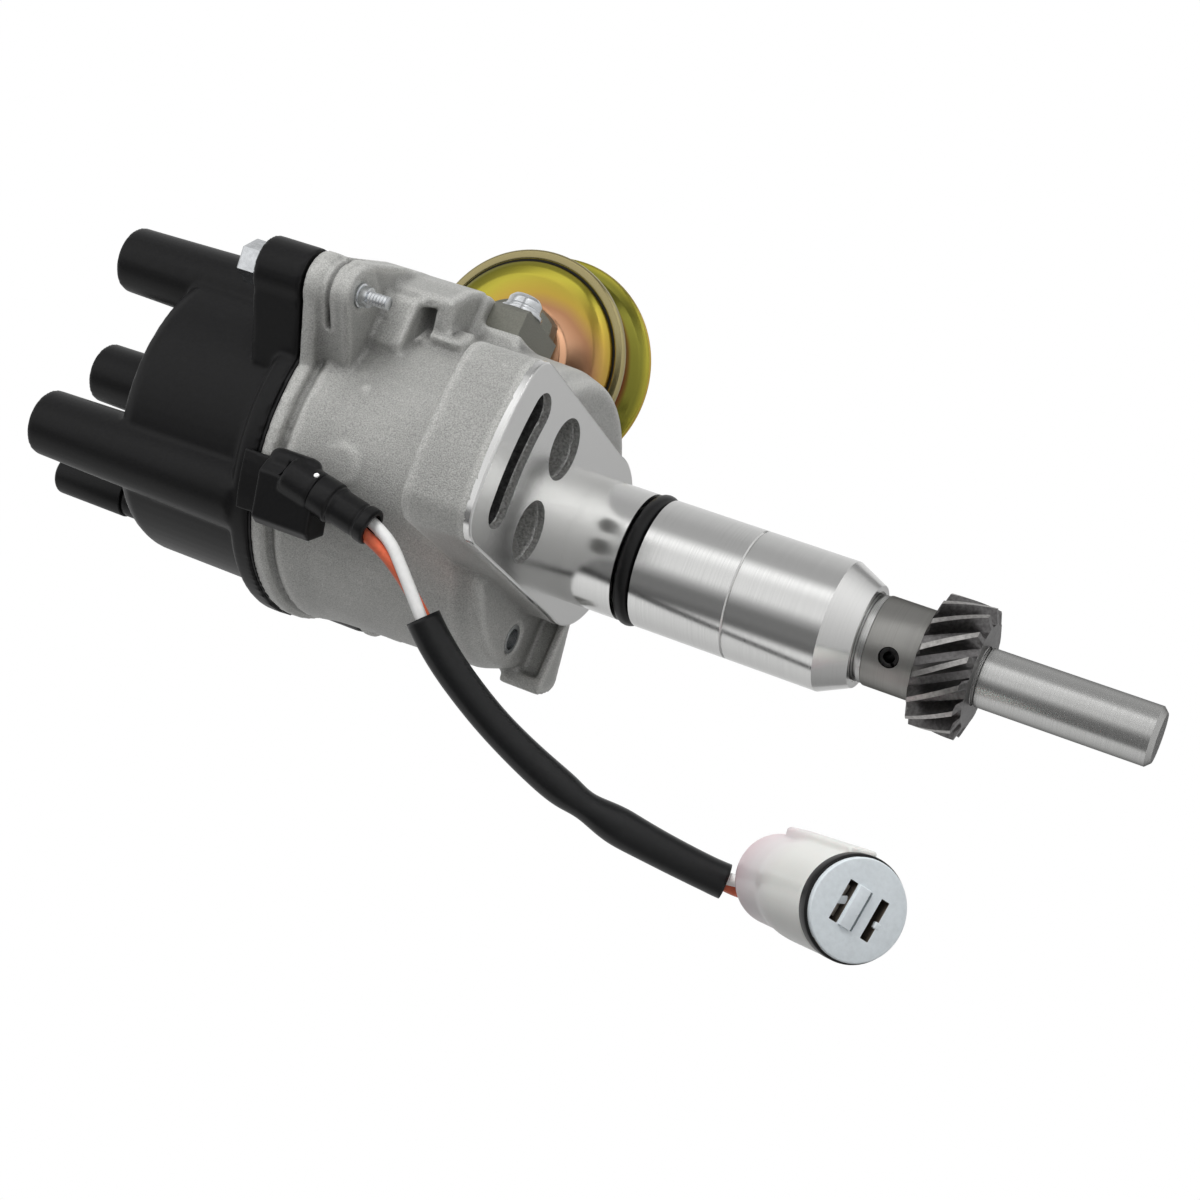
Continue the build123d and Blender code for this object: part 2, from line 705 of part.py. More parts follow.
gear_root_radius = gear_tip_radius - gear_tooth_depth
gear_pitch = 360 / gear_teeth
tooth_points = []
for tooth in range(gear_teeth):
    for radius, share in ((0, -0.30), (0.5, -0.21), (1, -0.11), (1, 0.11), (0.5, 0.21), (0, 0.30)):
        place = at_angle(gear_root_radius + gear_tooth_depth * radius, (tooth + share) * gear_pitch)
        tooth_points.append(place[:2])
with BuildSketch(Plane.XY.offset(gear_low_z)) as tooth_sketch:
    with BuildLine():
        Polyline(*tooth_points, tooth_points[0])
    make_face()
with BuildPart() as drive_gear:
    add(
        Solid.extrude_linear_with_rotation(
            tooth_sketch.sketch.faces()[0],
            center=(0, 0, gear_low_z),
            normal=(0, 0, gear_face_width),
            angle=-gear_twist,
        )
    )
    # tooth ends turned off at both faces
    with BuildSketch(Plane.XZ):
        with BuildLine():
            Polyline(
                (0, gear_low_z),
                (gear_root_radius + 0.2, gear_low_z),
                (gear_tip_radius, gear_low_z + 1.8),
                (gear_tip_radius, gear_top_z - 1.8),
                (gear_root_radius + 0.2, gear_top_z),
                (0, gear_top_z),
                (0, gear_low_z),
            )
        make_face()
    revolve(axis=Axis.Z, mode=Mode.INTERSECT)
    revolve(ring(gear_hub_radius, shaft_radius, gear_top_z - 0.5, gear_hub_top_z), axis=Axis.Z)
    with BuildSketch(Plane.XY.offset(gear_low_z)):
        Circle(shaft_radius)
    extrude(amount=gear_hub_top_z - gear_low_z, mode=Mode.SUBTRACT)
    with BuildSketch(Plane(origin=(0, 0, pin_z), x_dir=(0, 0, 1), z_dir=pin_dir)):
        Circle(pin_radius)
    extrude(amount=12, both=True, mode=Mode.SUBTRACT)
save(drive_gear.part, "drive_gear")

with BuildPart() as spring_pin:
    with BuildSketch(Plane(origin=(0, 0, pin_z), x_dir=(0, 0, 1), z_dir=pin_dir)):
        Circle(pin_radius)
        Circle(pin_radius - 0.8, mode=Mode.SUBTRACT)
        with Locations((-pin_radius, 0)):
            Rectangle(pin_radius * 2, 0.6, mode=Mode.SUBTRACT)
    extrude(amount=gear_hub_radius - 0.5, both=True)
save(spring_pin.part, "spring_pin")

washer_top_z = -shank_length + nose_counterbore_depth
with BuildPart() as thrust_washers:
    revolve(ring(washer_radius, shaft_radius, washer_top_z - 0.9, washer_top_z - 0.05), axis=Axis.Z)
    revolve(ring(washer_radius - 0.7, shaft_radius, washer_top_z - 1.7, washer_top_z - 0.9), axis=Axis.Z)
    revolve(ring(washer_radius, shaft_radius, gear_hub_top_z, washer_top_z - 1.7), axis=Axis.Z)
save(thrust_washers.part, "thrust_washers")

# ================================================================ centrifugal advance
weight_z = governor_plate_z + governor_plate_thickness + 0.1
plate_post = at_angle(spring_plate_post_radius, 136)
lever_post = at_angle(spring_lever_post_radius, 90)
post_top_z = lever_z + lever_thickness + 4.2
with BuildPart() as governor_base:
    with BuildSketch(Plane.XY.offset(governor_plate_z)):
        Circle(governor_pivot_radius + 2.3)
        Rectangle(2 * spring_plate_post_radius, 7.0, rotation=136)
        with Locations(plate_post[:2], (-plate_post[0], -plate_post[1])):
            Circle(3.5)
        Circle(shaft_radius, mode=Mode.SUBTRACT)
    extrude(amount=governor_plate_thickness)
    revolve(ring(9.2, shaft_radius, governor_plate_z - 3.0, governor_plate_z), axis=Axis.Z)
    with BuildSketch(Plane.XY.offset(governor_plate_z + governor_plate_thickness)):
        with Locations((0, governor_pivot_radius), (0, -governor_pivot_radius)):
            Circle(governor_pin_radius)
    extrude(amount=weight_thickness + 0.5)
    with BuildSketch(Plane.XY.offset(governor_plate_z + governor_plate_thickness)):
        with Locations(plate_post[:2], (-plate_post[0], -plate_post[1])):
            Circle(spring_post_radius)
    extrude(amount=post_top_z - governor_plate_z - governor_plate_thickness)
save(governor_base.part, "governor_base")

toe_radius = governor_pivot_radius / 2
with BuildPart() as governor_weight_a:
    with BuildSketch(Plane.XY.offset(weight_z)):
        with BuildLine():
            outer_arc = CenterArc((0, 0), weight_outer_radius, -18, 128)
            inner_arc = CenterArc((0, 0), weight_inner_radius, -18, 128)
            Line(outer_arc @ 0, inner_arc @ 0)
            Line(outer_arc @ 1, inner_arc @ 1)
        make_face()
        with Locations((0, (toe_radius - 1.2 + weight_inner_radius + 1) / 2)):
            Rectangle(4.2, weight_inner_radius + 2.2 - toe_radius)
        with Locations((0, governor_pivot_radius)):
            Circle(governor_pin_radius + running_gap, mode=Mode.SUBTRACT)
    extrude(amount=weight_thickness)
    with BuildSketch(Plane.XY.offset(weight_z + weight_thickness)):
        with Locations((0, toe_radius)):
            Circle(1.0)
    extrude(amount=lever_z + lever_thickness - 0.3 - weight_z - weight_thickness)
save(governor_weight_a.part, "governor_weight_a")
governor_weight_b = governor_weight_a.part.rotate(Axis.Z, 180)
save(governor_weight_b, "governor_weight_b")

with BuildPart() as cam_sleeve:
    with BuildSketch(Plane.XY.offset(lever_z)):
        Circle(cam_radius + 1.6)
        Rectangle(7.0, 2 * spring_lever_post_radius)
        with Locations(lever_post[:2], (-lever_post[0], -lever_post[1])):
            Circle(3.5)
        Rectangle(2.7, 2 * toe_radius + 3.0, mode=Mode.SUBTRACT)
        Circle(shaft_radius + running_gap, mode=Mode.SUBTRACT)
    extrude(amount=lever_thickness)
    revolve(ring(cam_radius, shaft_radius + running_gap, lever_z + lever_thickness, shaft_top_z), axis=Axis.Z)
    revolve(ring(cam_radius, 6.9, shaft_top_z, shaft_top_z + 6), axis=Axis.Z)
    with BuildSketch(Plane.XY.offset(lever_z + lever_thickness)):
        with Locations(lever_post[:2], (-lever_post[0], -lever_post[1])):
            Circle(spring_post_radius - 0.1)
    extrude(amount=4.2)
    with BuildSketch(Plane(origin=(0, 0, shaft_top_z + 2), x_dir=at_angle(1, rotor_angle), z_dir=(0, 0, 1))):
        with Locations((cam_radius - 0.6, 0)):
            Rectangle(2.4, 3.0)
    extrude(amount=4, mode=Mode.SUBTRACT)
save(cam_sleeve.part, "cam_sleeve")

spring_run = Vector(lever_post[0] - plate_post[0], lever_post[1] - plate_post[1], 0)
spring_z = lever_z + lever_thickness + 1.7
spring_dir = spring_run.normalized()
spring_plane = Plane(origin=(plate_post[0], plate_post[1], spring_z), x_dir=spring_dir, z_dir=(0, 0, 1))
spring_across = Plane(origin=(plate_post[0], plate_post[1], spring_z), x_dir=(0, 0, 1), z_dir=spring_dir)
with BuildPart() as spring_half:
    with BuildSketch(spring_plane.offset(-0.35)):
        Circle(2.1)
        Circle(spring_post_radius, mode=Mode.SUBTRACT)
    extrude(amount=0.7)
    with BuildSketch(spring_plane.offset(-0.35)):
        with Locations((spring_run.length + 1.5, 0)):
            SlotCenterToCenter(3.0, 4.6)
            SlotCenterToCenter(3.0, 3.2, mode=Mode.SUBTRACT)
    extrude(amount=0.7)
    with BuildSketch(spring_across.offset(1.9)):
        Circle(1.5)
    extrude(amount=spring_run.length - 4.0)
with BuildPart() as governor_springs:
    add(spring_half.part)
    add(spring_half.part.rotate(Axis.Z, 180))
save(governor_springs.part, "governor_springs")

with BuildPart() as cam_screw:
    with BuildSketch(Plane.XZ):
        with BuildLine():
            Polyline(
                (0, shaft_top_z - 11),
                (2.5, shaft_top_z - 11),
                (2.5, shaft_top_z + 0.1),
                (6.5, shaft_top_z + 0.1),
                (6.5, shaft_top_z + 0.9),
                (4.2, shaft_top_z + 0.9),
                (4.2, shaft_top_z + 3.4),
                (0, shaft_top_z + 3.4),
                (0, shaft_top_z - 11),
            )
        make_face()
    revolve(axis=Axis.Z)
save(cam_screw.part, "cam_screw")

# ================================================================ pickup
pivot_bore = cam_radius + 2.0
with BuildPart() as bearing_plate:
    revolve(ring(cavity_radius - slip_gap, pivot_bore, ledge_z, ledge_z + bearing_plate_thickness), axis=Axis.Z)
    revolve(ring(pivot_radius - 0.05, pivot_bore, ledge_z + bearing_plate_thickness, pivot_top_z), axis=Axis.Z)
    with BuildSketch(Plane.XY.offset(ledge_z)):
        with PolarLocations(29.0, 2, start_angle=120):
            Circle(1.25)
    extrude(amount=bearing_plate_thickness, mode=Mode.SUBTRACT)
save(bearing_plate.part, "bearing_plate")

with BuildPart() as plate_screws:
    with BuildSketch(Plane.XY.offset(ledge_z - 5)):
        with PolarLocations(29.0, 2, start_angle=120):
            Circle(1.25)
    extrude(amount=5 + bearing_plate_thickness)
    with BuildSketch(Plane.XY.offset(ledge_z + bearing_plate_thickness)):
        with PolarLocations(29.0, 2, start_angle=120):
            Circle(1.7)
    extrude(amount=1.4)
save(plate_screws.part, "plate_screws")

rod_pin_swing = degrees(asin(vacuum_stroke / 2 / rod_pin_circle))
rod_pin_angle = can_azimuth - 90 - rod_pin_swing
plate_low_z = ledge_z + bearing_plate_thickness + 0.1
plate_high_z = plate_low_z + pickup_plate_thickness
rod_z = can_z - rod_thickness / 2
with BuildPart() as pickup_plate:
    revolve(ring(pickup_plate_radius - 0.6, pivot_radius, plate_low_z, plate_high_z), axis=Axis.Z)
    with BuildSketch(Plane.XY.offset(plate_high_z)):
        with Locations(at_angle(rod_pin_circle, rod_pin_angle)[:2]):
            Circle(rod_pin_radius)
    extrude(amount=can_z + rod_thickness / 2 + 0.9 - plate_high_z)
save(pickup_plate.part, "pickup_plate")

reluctor_mid = reluctor_z + reluctor_height / 2
core_start = reluctor_tip_radius + pole_gap
pickup_plane = Plane(origin=(0, 0, plate_high_z), x_dir=at_angle(1, pickup_angle), z_dir=(0, 0, 1))
with BuildPart() as pickup_bracket:
    with BuildSketch(pickup_plane):
        with Locations((23.8, 0)):
            Rectangle(2.6, 12.0)
    extrude(amount=reluctor_mid + 2.6 - plate_high_z)
save(pickup_bracket.part, "pickup_bracket")

with BuildPart() as pickup_core:
    with BuildSketch(pickup_plane.offset(reluctor_mid - 1.5 - plate_high_z)):
        with Locations(((core_start + 22.5) / 2, 0)):
            Rectangle(22.5 - core_start, 3.2)
    extrude(amount=3.0)
save(pickup_core.part, "pickup_core")

with BuildPart() as pickup_coil:
    with BuildSketch(polar_plane(pickup_angle, 15.4, reluctor_mid)):
        Circle(4.4)
        Rectangle(3.0, 3.2, mode=Mode.SUBTRACT)
    extrude(amount=7.1)
save(pickup_coil.part, "pickup_coil")

with BuildPart() as reluctor:
    with BuildSketch(Plane.XY.offset(reluctor_z)):
        Circle(reluctor_hub_radius)
        Rectangle(2 * reluctor_tip_radius - 0.3, 3.6, rotation=pickup_angle)
        Rectangle(2 * reluctor_tip_radius - 0.3, 3.6, rotation=pickup_angle + 90)
        Circle(cam_radius, mode=Mode.SUBTRACT)
    extrude(amount=reluctor_height)
save(reluctor.part, "reluctor")

# ================================================================ rotor
rotor_plane = Plane(origin=(0, 0, rotor_skirt_z), x_dir=at_angle(1, rotor_angle), z_dir=(0, 0, 1))
with BuildPart() as rotor_arm:
    revolve(ring(rotor_skirt_radius, cam_radius, rotor_skirt_z, shaft_top_z + 6), axis=Axis.Z)
    with BuildSketch(Plane.XY.offset(shaft_top_z + 6)):
        Circle(rotor_skirt_radius)
    extrude(amount=2.5)
    with BuildSketch(rotor_plane.offset(shaft_top_z + 2.05 - rotor_skirt_z)):
        with Locations((cam_radius - 0.4, 0)):
            Rectangle(1.2, 2.9)
    extrude(amount=4)
    with BuildSketch(rotor_plane.offset(shaft_top_z + 8.5 - rotor_skirt_z)):
        Circle(7.6)
    extrude(amount=rotor_top_z - shaft_top_z - 8.5)
    with BuildSketch(rotor_plane.offset(rotor_top_z - 6 - rotor_skirt_z)):
        with Locations((6.5, 0)):
            Rectangle(30.0, rotor_width)
        Circle(rotor_reach - 3.4, mode=Mode.INTERSECT)
    extrude(amount=6)
save(rotor_arm.part, "rotor_arm")

with BuildPart() as rotor_contact:
    with BuildSketch(rotor_plane.offset(rotor_top_z - rotor_skirt_z)):
        with Locations((12.0, 0)):
            Rectangle(30.0, 6.0)
        Circle(rotor_reach, mode=Mode.INTERSECT)
    extrude(amount=contact_thickness)
save(rotor_contact.part, "rotor_contact")

# ================================================================ vacuum unit
can_origin = (can_out[0] * can_offset, can_out[1] * can_offset, can_z)
can_axis = Axis(can_origin, can_dir)
can_profile = Plane(origin=can_origin, x_dir=can_out, z_dir=(0, 0, 1))

with BuildPart() as vacuum_bracket:
    with BuildSketch(Plane.XY.offset(bracket_z[0])):
        with BuildLine():
            Polyline(
                (bracket_x[0] + 1.0, bracket_y[0]),
                (bracket_x[1], bracket_y[0]),
                (bracket_x[1], bracket_y[1] - 1.0),
                (bracket_x[1] - 1.0, bracket_y[1]),
                (bracket_x[0] + 4.0, bracket_y[1]),
                (bracket_x[0] + 0.2, bracket_y[0] + 4),
                (bracket_x[0] + 1.0, bracket_y[0]),
            )
        make_face()
    extrude(amount=bracket_z[1] - bracket_z[0])
    # upright that carries the unit
    with BuildSketch(can_plane(can_face_start - 4.0)):
        Circle(12.0)
        with Locations((-1.0, 8.0)):
            Rectangle(14.0, 16.0)
    extrude(amount=3.4)
    with BuildSketch(can_plane(can_face_start - 6.0)):
        Circle(2.8)
    extrude(amount=8, mode=Mode.SUBTRACT)
    with BuildSketch(Plane.XZ.offset(-bracket_y[1] - 1)):
        with Locations((clamp_screw_x, clamp_screw_z)):
            Circle(2.1)
    extrude(amount=bracket_y[1] - bracket_y[0] + 2, mode=Mode.SUBTRACT)
save(vacuum_bracket.part, "vacuum_bracket")

with BuildPart() as bracket_screw:
    with BuildSketch(Plane.XZ.offset(-bracket_y[1])):
        with Locations((clamp_screw_x, clamp_screw_z)):
            Circle(4.6)
    extrude(amount=-1.6)
    with BuildSketch(Plane.XZ.offset(-bracket_y[1] - 1.6)):
        with Locations((clamp_screw_x, clamp_screw_z)):
            Circle(3.7)
    extrude(amount=-2.6)
    with BuildSketch(Plane.XZ.offset(-bracket_y[1])):
        with Locations((clamp_screw_x, clamp_screw_z)):
            Circle(2.0)
    extrude(amount=bracket_y[1] - bracket_y[0] + 3.0)
save(bracket_screw.part, "bracket_screw")

front_t = can_face_start - 0.6
with BuildPart() as vacuum_can_front:
    with BuildSketch(can_profile):
        with BuildLine():
            Polyline(
                (2.8, front_t),
                (11.6, front_t),
                (12.4, front_t + 0.8),
                (13.4, front_t + 1.2),
                (18.4, front_t + 1.9),
                (22.2, front_t + 3.6),
                (23.4, front_rim_at - 1.0),
                (front_rim_radius, front_rim_at - 1.0),
                (front_rim_radius, front_rim_at),
                (21.4, front_rim_at),
                (20.6, front_t + 4.0),
                (17.6, front_t + 3.0),
                (12.2, front_t + 2.3),
                (11.0, front_t + 1.1),
                (2.8, front_t + 1.1),
                (2.8, front_t),
            )
        make_face()
    revolve(axis=can_axis)
save(vacuum_can_front.part, "vacuum_can_front")

with BuildPart() as vacuum_can_middle:
    with BuildSketch(can_profile):
        with BuildLine():
            Polyline(
                (front_rim_radius, front_rim_at),
                (front_rim_radius, front_rim_at + 1.1),
                (can_waist_radius + 1.2, front_rim_at + 1.1),
                (can_waist_radius, front_rim_at + 2.6),
                (can_waist_radius, rear_rim_at - 3.0),
                (can_waist_radius + 1.6, rear_rim_at - 1.1),
                (rear_rim_radius, rear_rim_at - 1.1),
                (rear_rim_radius, rear_rim_at),
                (can_waist_radius + 0.6, rear_rim_at),
                (can_waist_radius - can_wall, rear_rim_at - 2.6),
                (can_waist_radius - can_wall, front_rim_at + 2.0),
                (can_waist_radius + 0.2, front_rim_at),
                (front_rim_radius, front_rim_at),
            )
        make_face()
    revolve(axis=can_axis)
save(vacuum_can_middle.part, "vacuum_can_middle")

with BuildPart() as vacuum_can_back:
    with BuildSketch(can_profile):
        with BuildLine():
            Polyline(
                (rear_rim_radius, rear_rim_at),
                (rear_rim_radius, rear_rim_at + 1.1),
                (23.4, rear_rim_at + 1.3),
                (21.4, rear_rim_at + 3.8),
                (14.0, rear_rim_at + 6.6),
                (nipple_radius, rear_rim_at + 7.6),
                (nipple_radius - 1.3, rear_rim_at + 7.6),
                (nipple_radius - 1.3, rear_rim_at + 6.5),
                (13.6, rear_rim_at + 5.5),
                (20.4, rear_rim_at + 3.0),
                (can_waist_radius + 0.6, rear_rim_at),
                (rear_rim_radius, rear_rim_at),
            )
        make_face()
    revolve(axis=can_axis)
save(vacuum_can_back.part, "vacuum_can_back")

with BuildPart() as vacuum_nipple:
    with BuildSketch(can_plane(rear_rim_at + 7.6)):
        Circle(nipple_radius)
        Circle(nipple_radius - 1.3, mode=Mode.SUBTRACT)
    extrude(amount=nipple_length)
save(vacuum_nipple.part, "vacuum_nipple")

cup_t = rear_rim_at - 5.0
with BuildPart() as vacuum_membrane:
    with BuildSketch(can_profile):
        with BuildLine():
            Polyline(
                (13.9, cup_t + 0.4),
                (16.5, cup_t - 1.2),
                (can_waist_radius - can_wall, cup_t + 0.4),
                (can_waist_radius - can_wall, cup_t + 1.2),
                (16.5, cup_t - 0.4),
                (13.9, cup_t + 1.2),
                (13.9, cup_t + 0.4),
            )
        make_face()
    revolve(axis=can_axis)
save(vacuum_membrane.part, "vacuum_membrane")

rod_eye_t = -vacuum_stroke / 2
rod_top = Plane(origin=(can_origin[0], can_origin[1], rod_z), x_dir=can_out, z_dir=(0, 0, 1))
eye_n = sqrt(rod_pin_circle**2 - (vacuum_stroke / 2) ** 2) - can_offset
with BuildPart() as vacuum_rod:
    with BuildSketch(rod_top):
        with BuildLine():
            Polyline(
                (eye_n - 2.0, rod_eye_t),
                (eye_n + 2.0, rod_eye_t),
                (rod_width / 2, rod_eye_t + 11.0),
                (rod_width / 2, cup_t + 0.1),
                (-rod_width / 2, cup_t + 0.1),
                (-rod_width / 2, rod_eye_t + 13.0),
                (eye_n - 2.0, rod_eye_t),
            )
        make_face()
        with Locations((eye_n, rod_eye_t)):
            Circle(3.4)
            Circle(rod_pin_radius + air_gap, mode=Mode.SUBTRACT)
    extrude(amount=rod_thickness)
    with BuildSketch(can_plane(cup_t)):
        Circle(13.3)
    extrude(amount=1.5)
save(vacuum_rod.part, "vacuum_rod")

with BuildPart() as vacuum_spring:
    with BuildSketch(can_plane(cup_t + 1.5)):
        Circle(9.2)
        Circle(8.0, mode=Mode.SUBTRACT)
    extrude(amount=rear_rim_at + 5.7 - vacuum_stroke - cup_t - 1.5)
save(vacuum_spring.part, "vacuum_spring")

# ================================================================ lead
view_shift = Vector(-0.92286, 0.16025, 0.35023)
boot_top = Vector(37.7, -15.6, 45.8)
boot_end = Vector(35.5, -19.0, 29.0)
boot_dir = (boot_end - boot_top).normalized()
with BuildPart() as grommet:
    with BuildSketch(Plane.XY.offset(grommet_z[0])):
        with BuildLine():
            Polyline(
                at_angle(rim_radius + 0.7, boot_azimuth + 9.5)[:2],
                at_angle(rim_radius + 5.8, boot_azimuth + 9.5)[:2],
                at_angle(rim_radius + 7.8, boot_azimuth + 6.5)[:2],
                at_angle(rim_radius + 7.8, boot_azimuth - 6.0)[:2],
                at_angle(rim_radius + 6.2, boot_azimuth - 8.6)[:2],
                at_angle(rim_radius + 0.7, boot_azimuth - 9.5)[:2],
                at_angle(rim_radius + 0.7, boot_azimuth + 9.5)[:2],
            )
        make_face()
    extrude(amount=cap_z + 1.6 - grommet_z[0])
    with BuildSketch(polar_plane(boot_azimuth, cavity_radius - 1.6, 54.0)):
        Rectangle(9.4, 8.6)
    extrude(amount=rim_radius - cavity_radius + 2.4)
    with BuildSketch(Plane(origin=boot_top + boot_dir * -4, z_dir=boot_dir)):
        Circle(3.0)
    extrude(amount=9.0, mode=Mode.SUBTRACT)
    with BuildSketch(Plane(origin=boot_top + boot_dir * 0.2, z_dir=boot_dir)):
        Circle(boot_radius)
    extrude(amount=9.0, mode=Mode.SUBTRACT)
    # the skirt of the cap passes above
    revolve(ring(cap_skirt_radius + 0.2, cavity_radius, cap_z, cap_skirt_top_z), axis=Axis.Z, mode=Mode.SUBTRACT)
save(grommet.part, "grommet")

with BuildPart() as lead_boot:
    with BuildSketch(Plane(origin=boot_top + boot_dir * -3.6, z_dir=boot_dir)):
        Circle(3.0)
        Circle(2.75, mode=Mode.SUBTRACT)
    extrude(amount=5.0)
    with BuildSketch(Plane(origin=boot_top + boot_dir * 0.3, z_dir=boot_dir)):
        Circle(boot_radius)
        Circle(2.75, mode=Mode.SUBTRACT)
    extrude(amount=(boot_end - boot_top).length - 0.3)
save(lead_boot.part, "lead_boot")

plug_dir = Vector(0.7866, -0.0554, -0.6150).normalized()
key_guess = Vector(0.202, 0.977, 0.086)
key_dir = (key_guess - plug_dir * key_guess.dot(plug_dir)).normalized()
plug_face_at = Vector(33.6, -52.9, -86.3)
plug_start = plug_face_at - plug_dir * plug_length
slot_turn = radians(-18.5)  # the plug's slots, turned from the key about the plug's axis
slot_dir = key_dir * cos(slot_turn) + plug_dir.cross(key_dir) * sin(slot_turn)
wire_entry = 2.0        # how far the wires go into the plug
lead_turn = plug_start - plug_dir * 3.6
lead_end = plug_start + plug_dir * wire_entry
lead_route = [
    (36.6, -17.3, 37.2),
    (35.3, -19.4, 27.2),
    (31.6, -26.2, 19.0),
    (26.6, -35.6, 10.0),
    (20.6, -43.0, -1.2),
    (15.6, -47.6, -11.0),
    (11.0, -51.2, -21.2),
    (6.4, -53.0, -31.5),
    (0.0, -54.2, -44.6),
    (-5.0, -54.6, -55.6),
    (-3.6, -52.4, -59.2),
    (lead_turn.X, lead_turn.Y, lead_turn.Z),
    (lead_end.X, lead_end.Y, lead_end.Z),
]
sleeve_from = 2         # the sleeve starts half-way along the run after this point
sleeve_to = 8
wire_side = [view_shift] * 9 + [(view_shift + key_dir) * 0.8] + [key_dir * 1.15] * 3


def route_radii(points):
    """Radius of the arc at each inner point, as large as its two runs allow."""
    radii = []
    for before, point, after in zip(points, points[1:], points[2:]):
        run_in = point - before
        run_out = after - point
        turn = radians(run_in.get_angle(run_out))
        radii.append(0.45 * min(run_in.length, run_out.length) / tan(turn / 2))
    return radii


def wire_points(amount):
    """Route of a wire that runs beside the lead's centre line."""
    return [Vector(*p) + side * amount for p, side in zip(lead_route, wire_side)]


white_points = wire_points(-wire_spread)
red_points = wire_points(wire_spread)
centre_points = [Vector(*p) for p in lead_route]
centre_radii = route_radii(centre_points)
print("arc radii of the lead", [round(r, 1) for r in centre_radii])

with BuildPart() as white_wire:
    with BuildLine() as white_line:
        FilletPolyline(*white_points, radius=route_radii(white_points))
    with BuildSketch(Plane(origin=white_line.line @ 0, z_dir=white_line.line % 0)):
        Circle(wire_radius)
    sweep(path=white_line.line)
save(white_wire.part, "white_wire")

with BuildPart() as red_wire:
    with BuildLine() as red_line:
        FilletPolyline(*red_points, radius=route_radii(red_points))
    with BuildSketch(Plane(origin=red_line.line @ 0, z_dir=red_line.line % 0)):
        Circle(wire_radius)
    sweep(path=red_line.line)
save(red_wire.part, "red_wire")

sleeve_start = centre_points[sleeve_from] * 0.5 + centre_points[sleeve_from + 1] * 0.5
sleeve_stop = centre_points[sleeve_to] * 0.28 + centre_points[sleeve_to + 1] * 0.72
sleeve_points = [sleeve_start] + centre_points[sleeve_from + 1 : sleeve_to + 1] + [sleeve_stop]
with BuildPart() as lead_sleeve:
    with BuildLine() as sleeve_line:
        FilletPolyline(*sleeve_points, radius=centre_radii[sleeve_from:sleeve_to])
    with BuildSketch(Plane(origin=sleeve_line.line @ 0, z_dir=sleeve_line.line % 0)):
        Circle(sleeve_radius)
        Circle(sleeve_bore, mode=Mode.SUBTRACT)
    sweep(path=sleeve_line.line)
save(lead_sleeve.part, "lead_sleeve")

# ================================================================ plug
plug_base = Plane(origin=plug_start, x_dir=key_dir, z_dir=plug_dir)
with BuildPart() as plug_body:
    with BuildSketch(plug_base):
        Circle(8.7)
    extrude(amount=21.5)
    with BuildSketch(plug_base.offset(21.5)):
        Circle(9.5)
    extrude(amount=plug_length - 3.2 - 21.5)
    with BuildSketch(plug_base.offset(6.0)):
        with Locations((8.4, 0)):
            Rectangle(4.0, 5.0)
    extrude(amount=22.0)
    with BuildSketch(plug_base.offset(6.0)):
        Circle(7.2)
    extrude(amount=plug_length, mode=Mode.SUBTRACT)
    with BuildSketch(plug_base):
        Circle(4.4)
    extrude(amount=7.0, mode=Mode.SUBTRACT)
save(plug_body.part, "plug_body")

with BuildPart() as plug_wire_seal:
    with BuildSketch(plug_base.offset(wire_entry)):
        Circle(4.4)
    extrude(amount=6.0 - wire_entry)
    with BuildSketch(plug_base.offset(6.0)):
        Circle(7.2)
    extrude(amount=6.0)
save(plug_wire_seal.part, "plug_wire_seal")

with BuildPart() as plug_seal:
    with BuildSketch(plug_base.offset(plug_length - 3.2)):
        Circle(9.7)
        Circle(7.2, mode=Mode.SUBTRACT)
    extrude(amount=1.4)
save(plug_seal.part, "plug_seal")

slot_base = Plane(origin=plug_start, x_dir=slot_dir, z_dir=plug_dir)
with BuildPart() as plug_face:
    with BuildSketch(plug_base.offset(plug_length - 1.8)):
        Circle(plug_radius)
    extrude(amount=1.8)
    with BuildSketch(plug_base.offset(12.0)):
        Circle(7.2)
    extrude(amount=plug_length - 12.0 - 1.8)
    with BuildSketch(slot_base.offset(14.0)):
        with Locations((0, 3.2), (0, -3.2)):
            Rectangle(8.0, 2.2)
    extrude(amount=plug_length, mode=Mode.SUBTRACT)
save(plug_face.part, "plug_face")

with BuildPart() as plug_blades:
    with BuildSketch(slot_base.offset(14.0)):
        with Locations((0, 3.2), (0, -3.2)):
            Rectangle(6.0, 0.8)
    extrude(amount=plug_length - 14.0 - 2.0)
save(plug_blades.part, "plug_blades")
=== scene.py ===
import json
import math

import bmesh
import bpy
from mathutils import Matrix, Vector

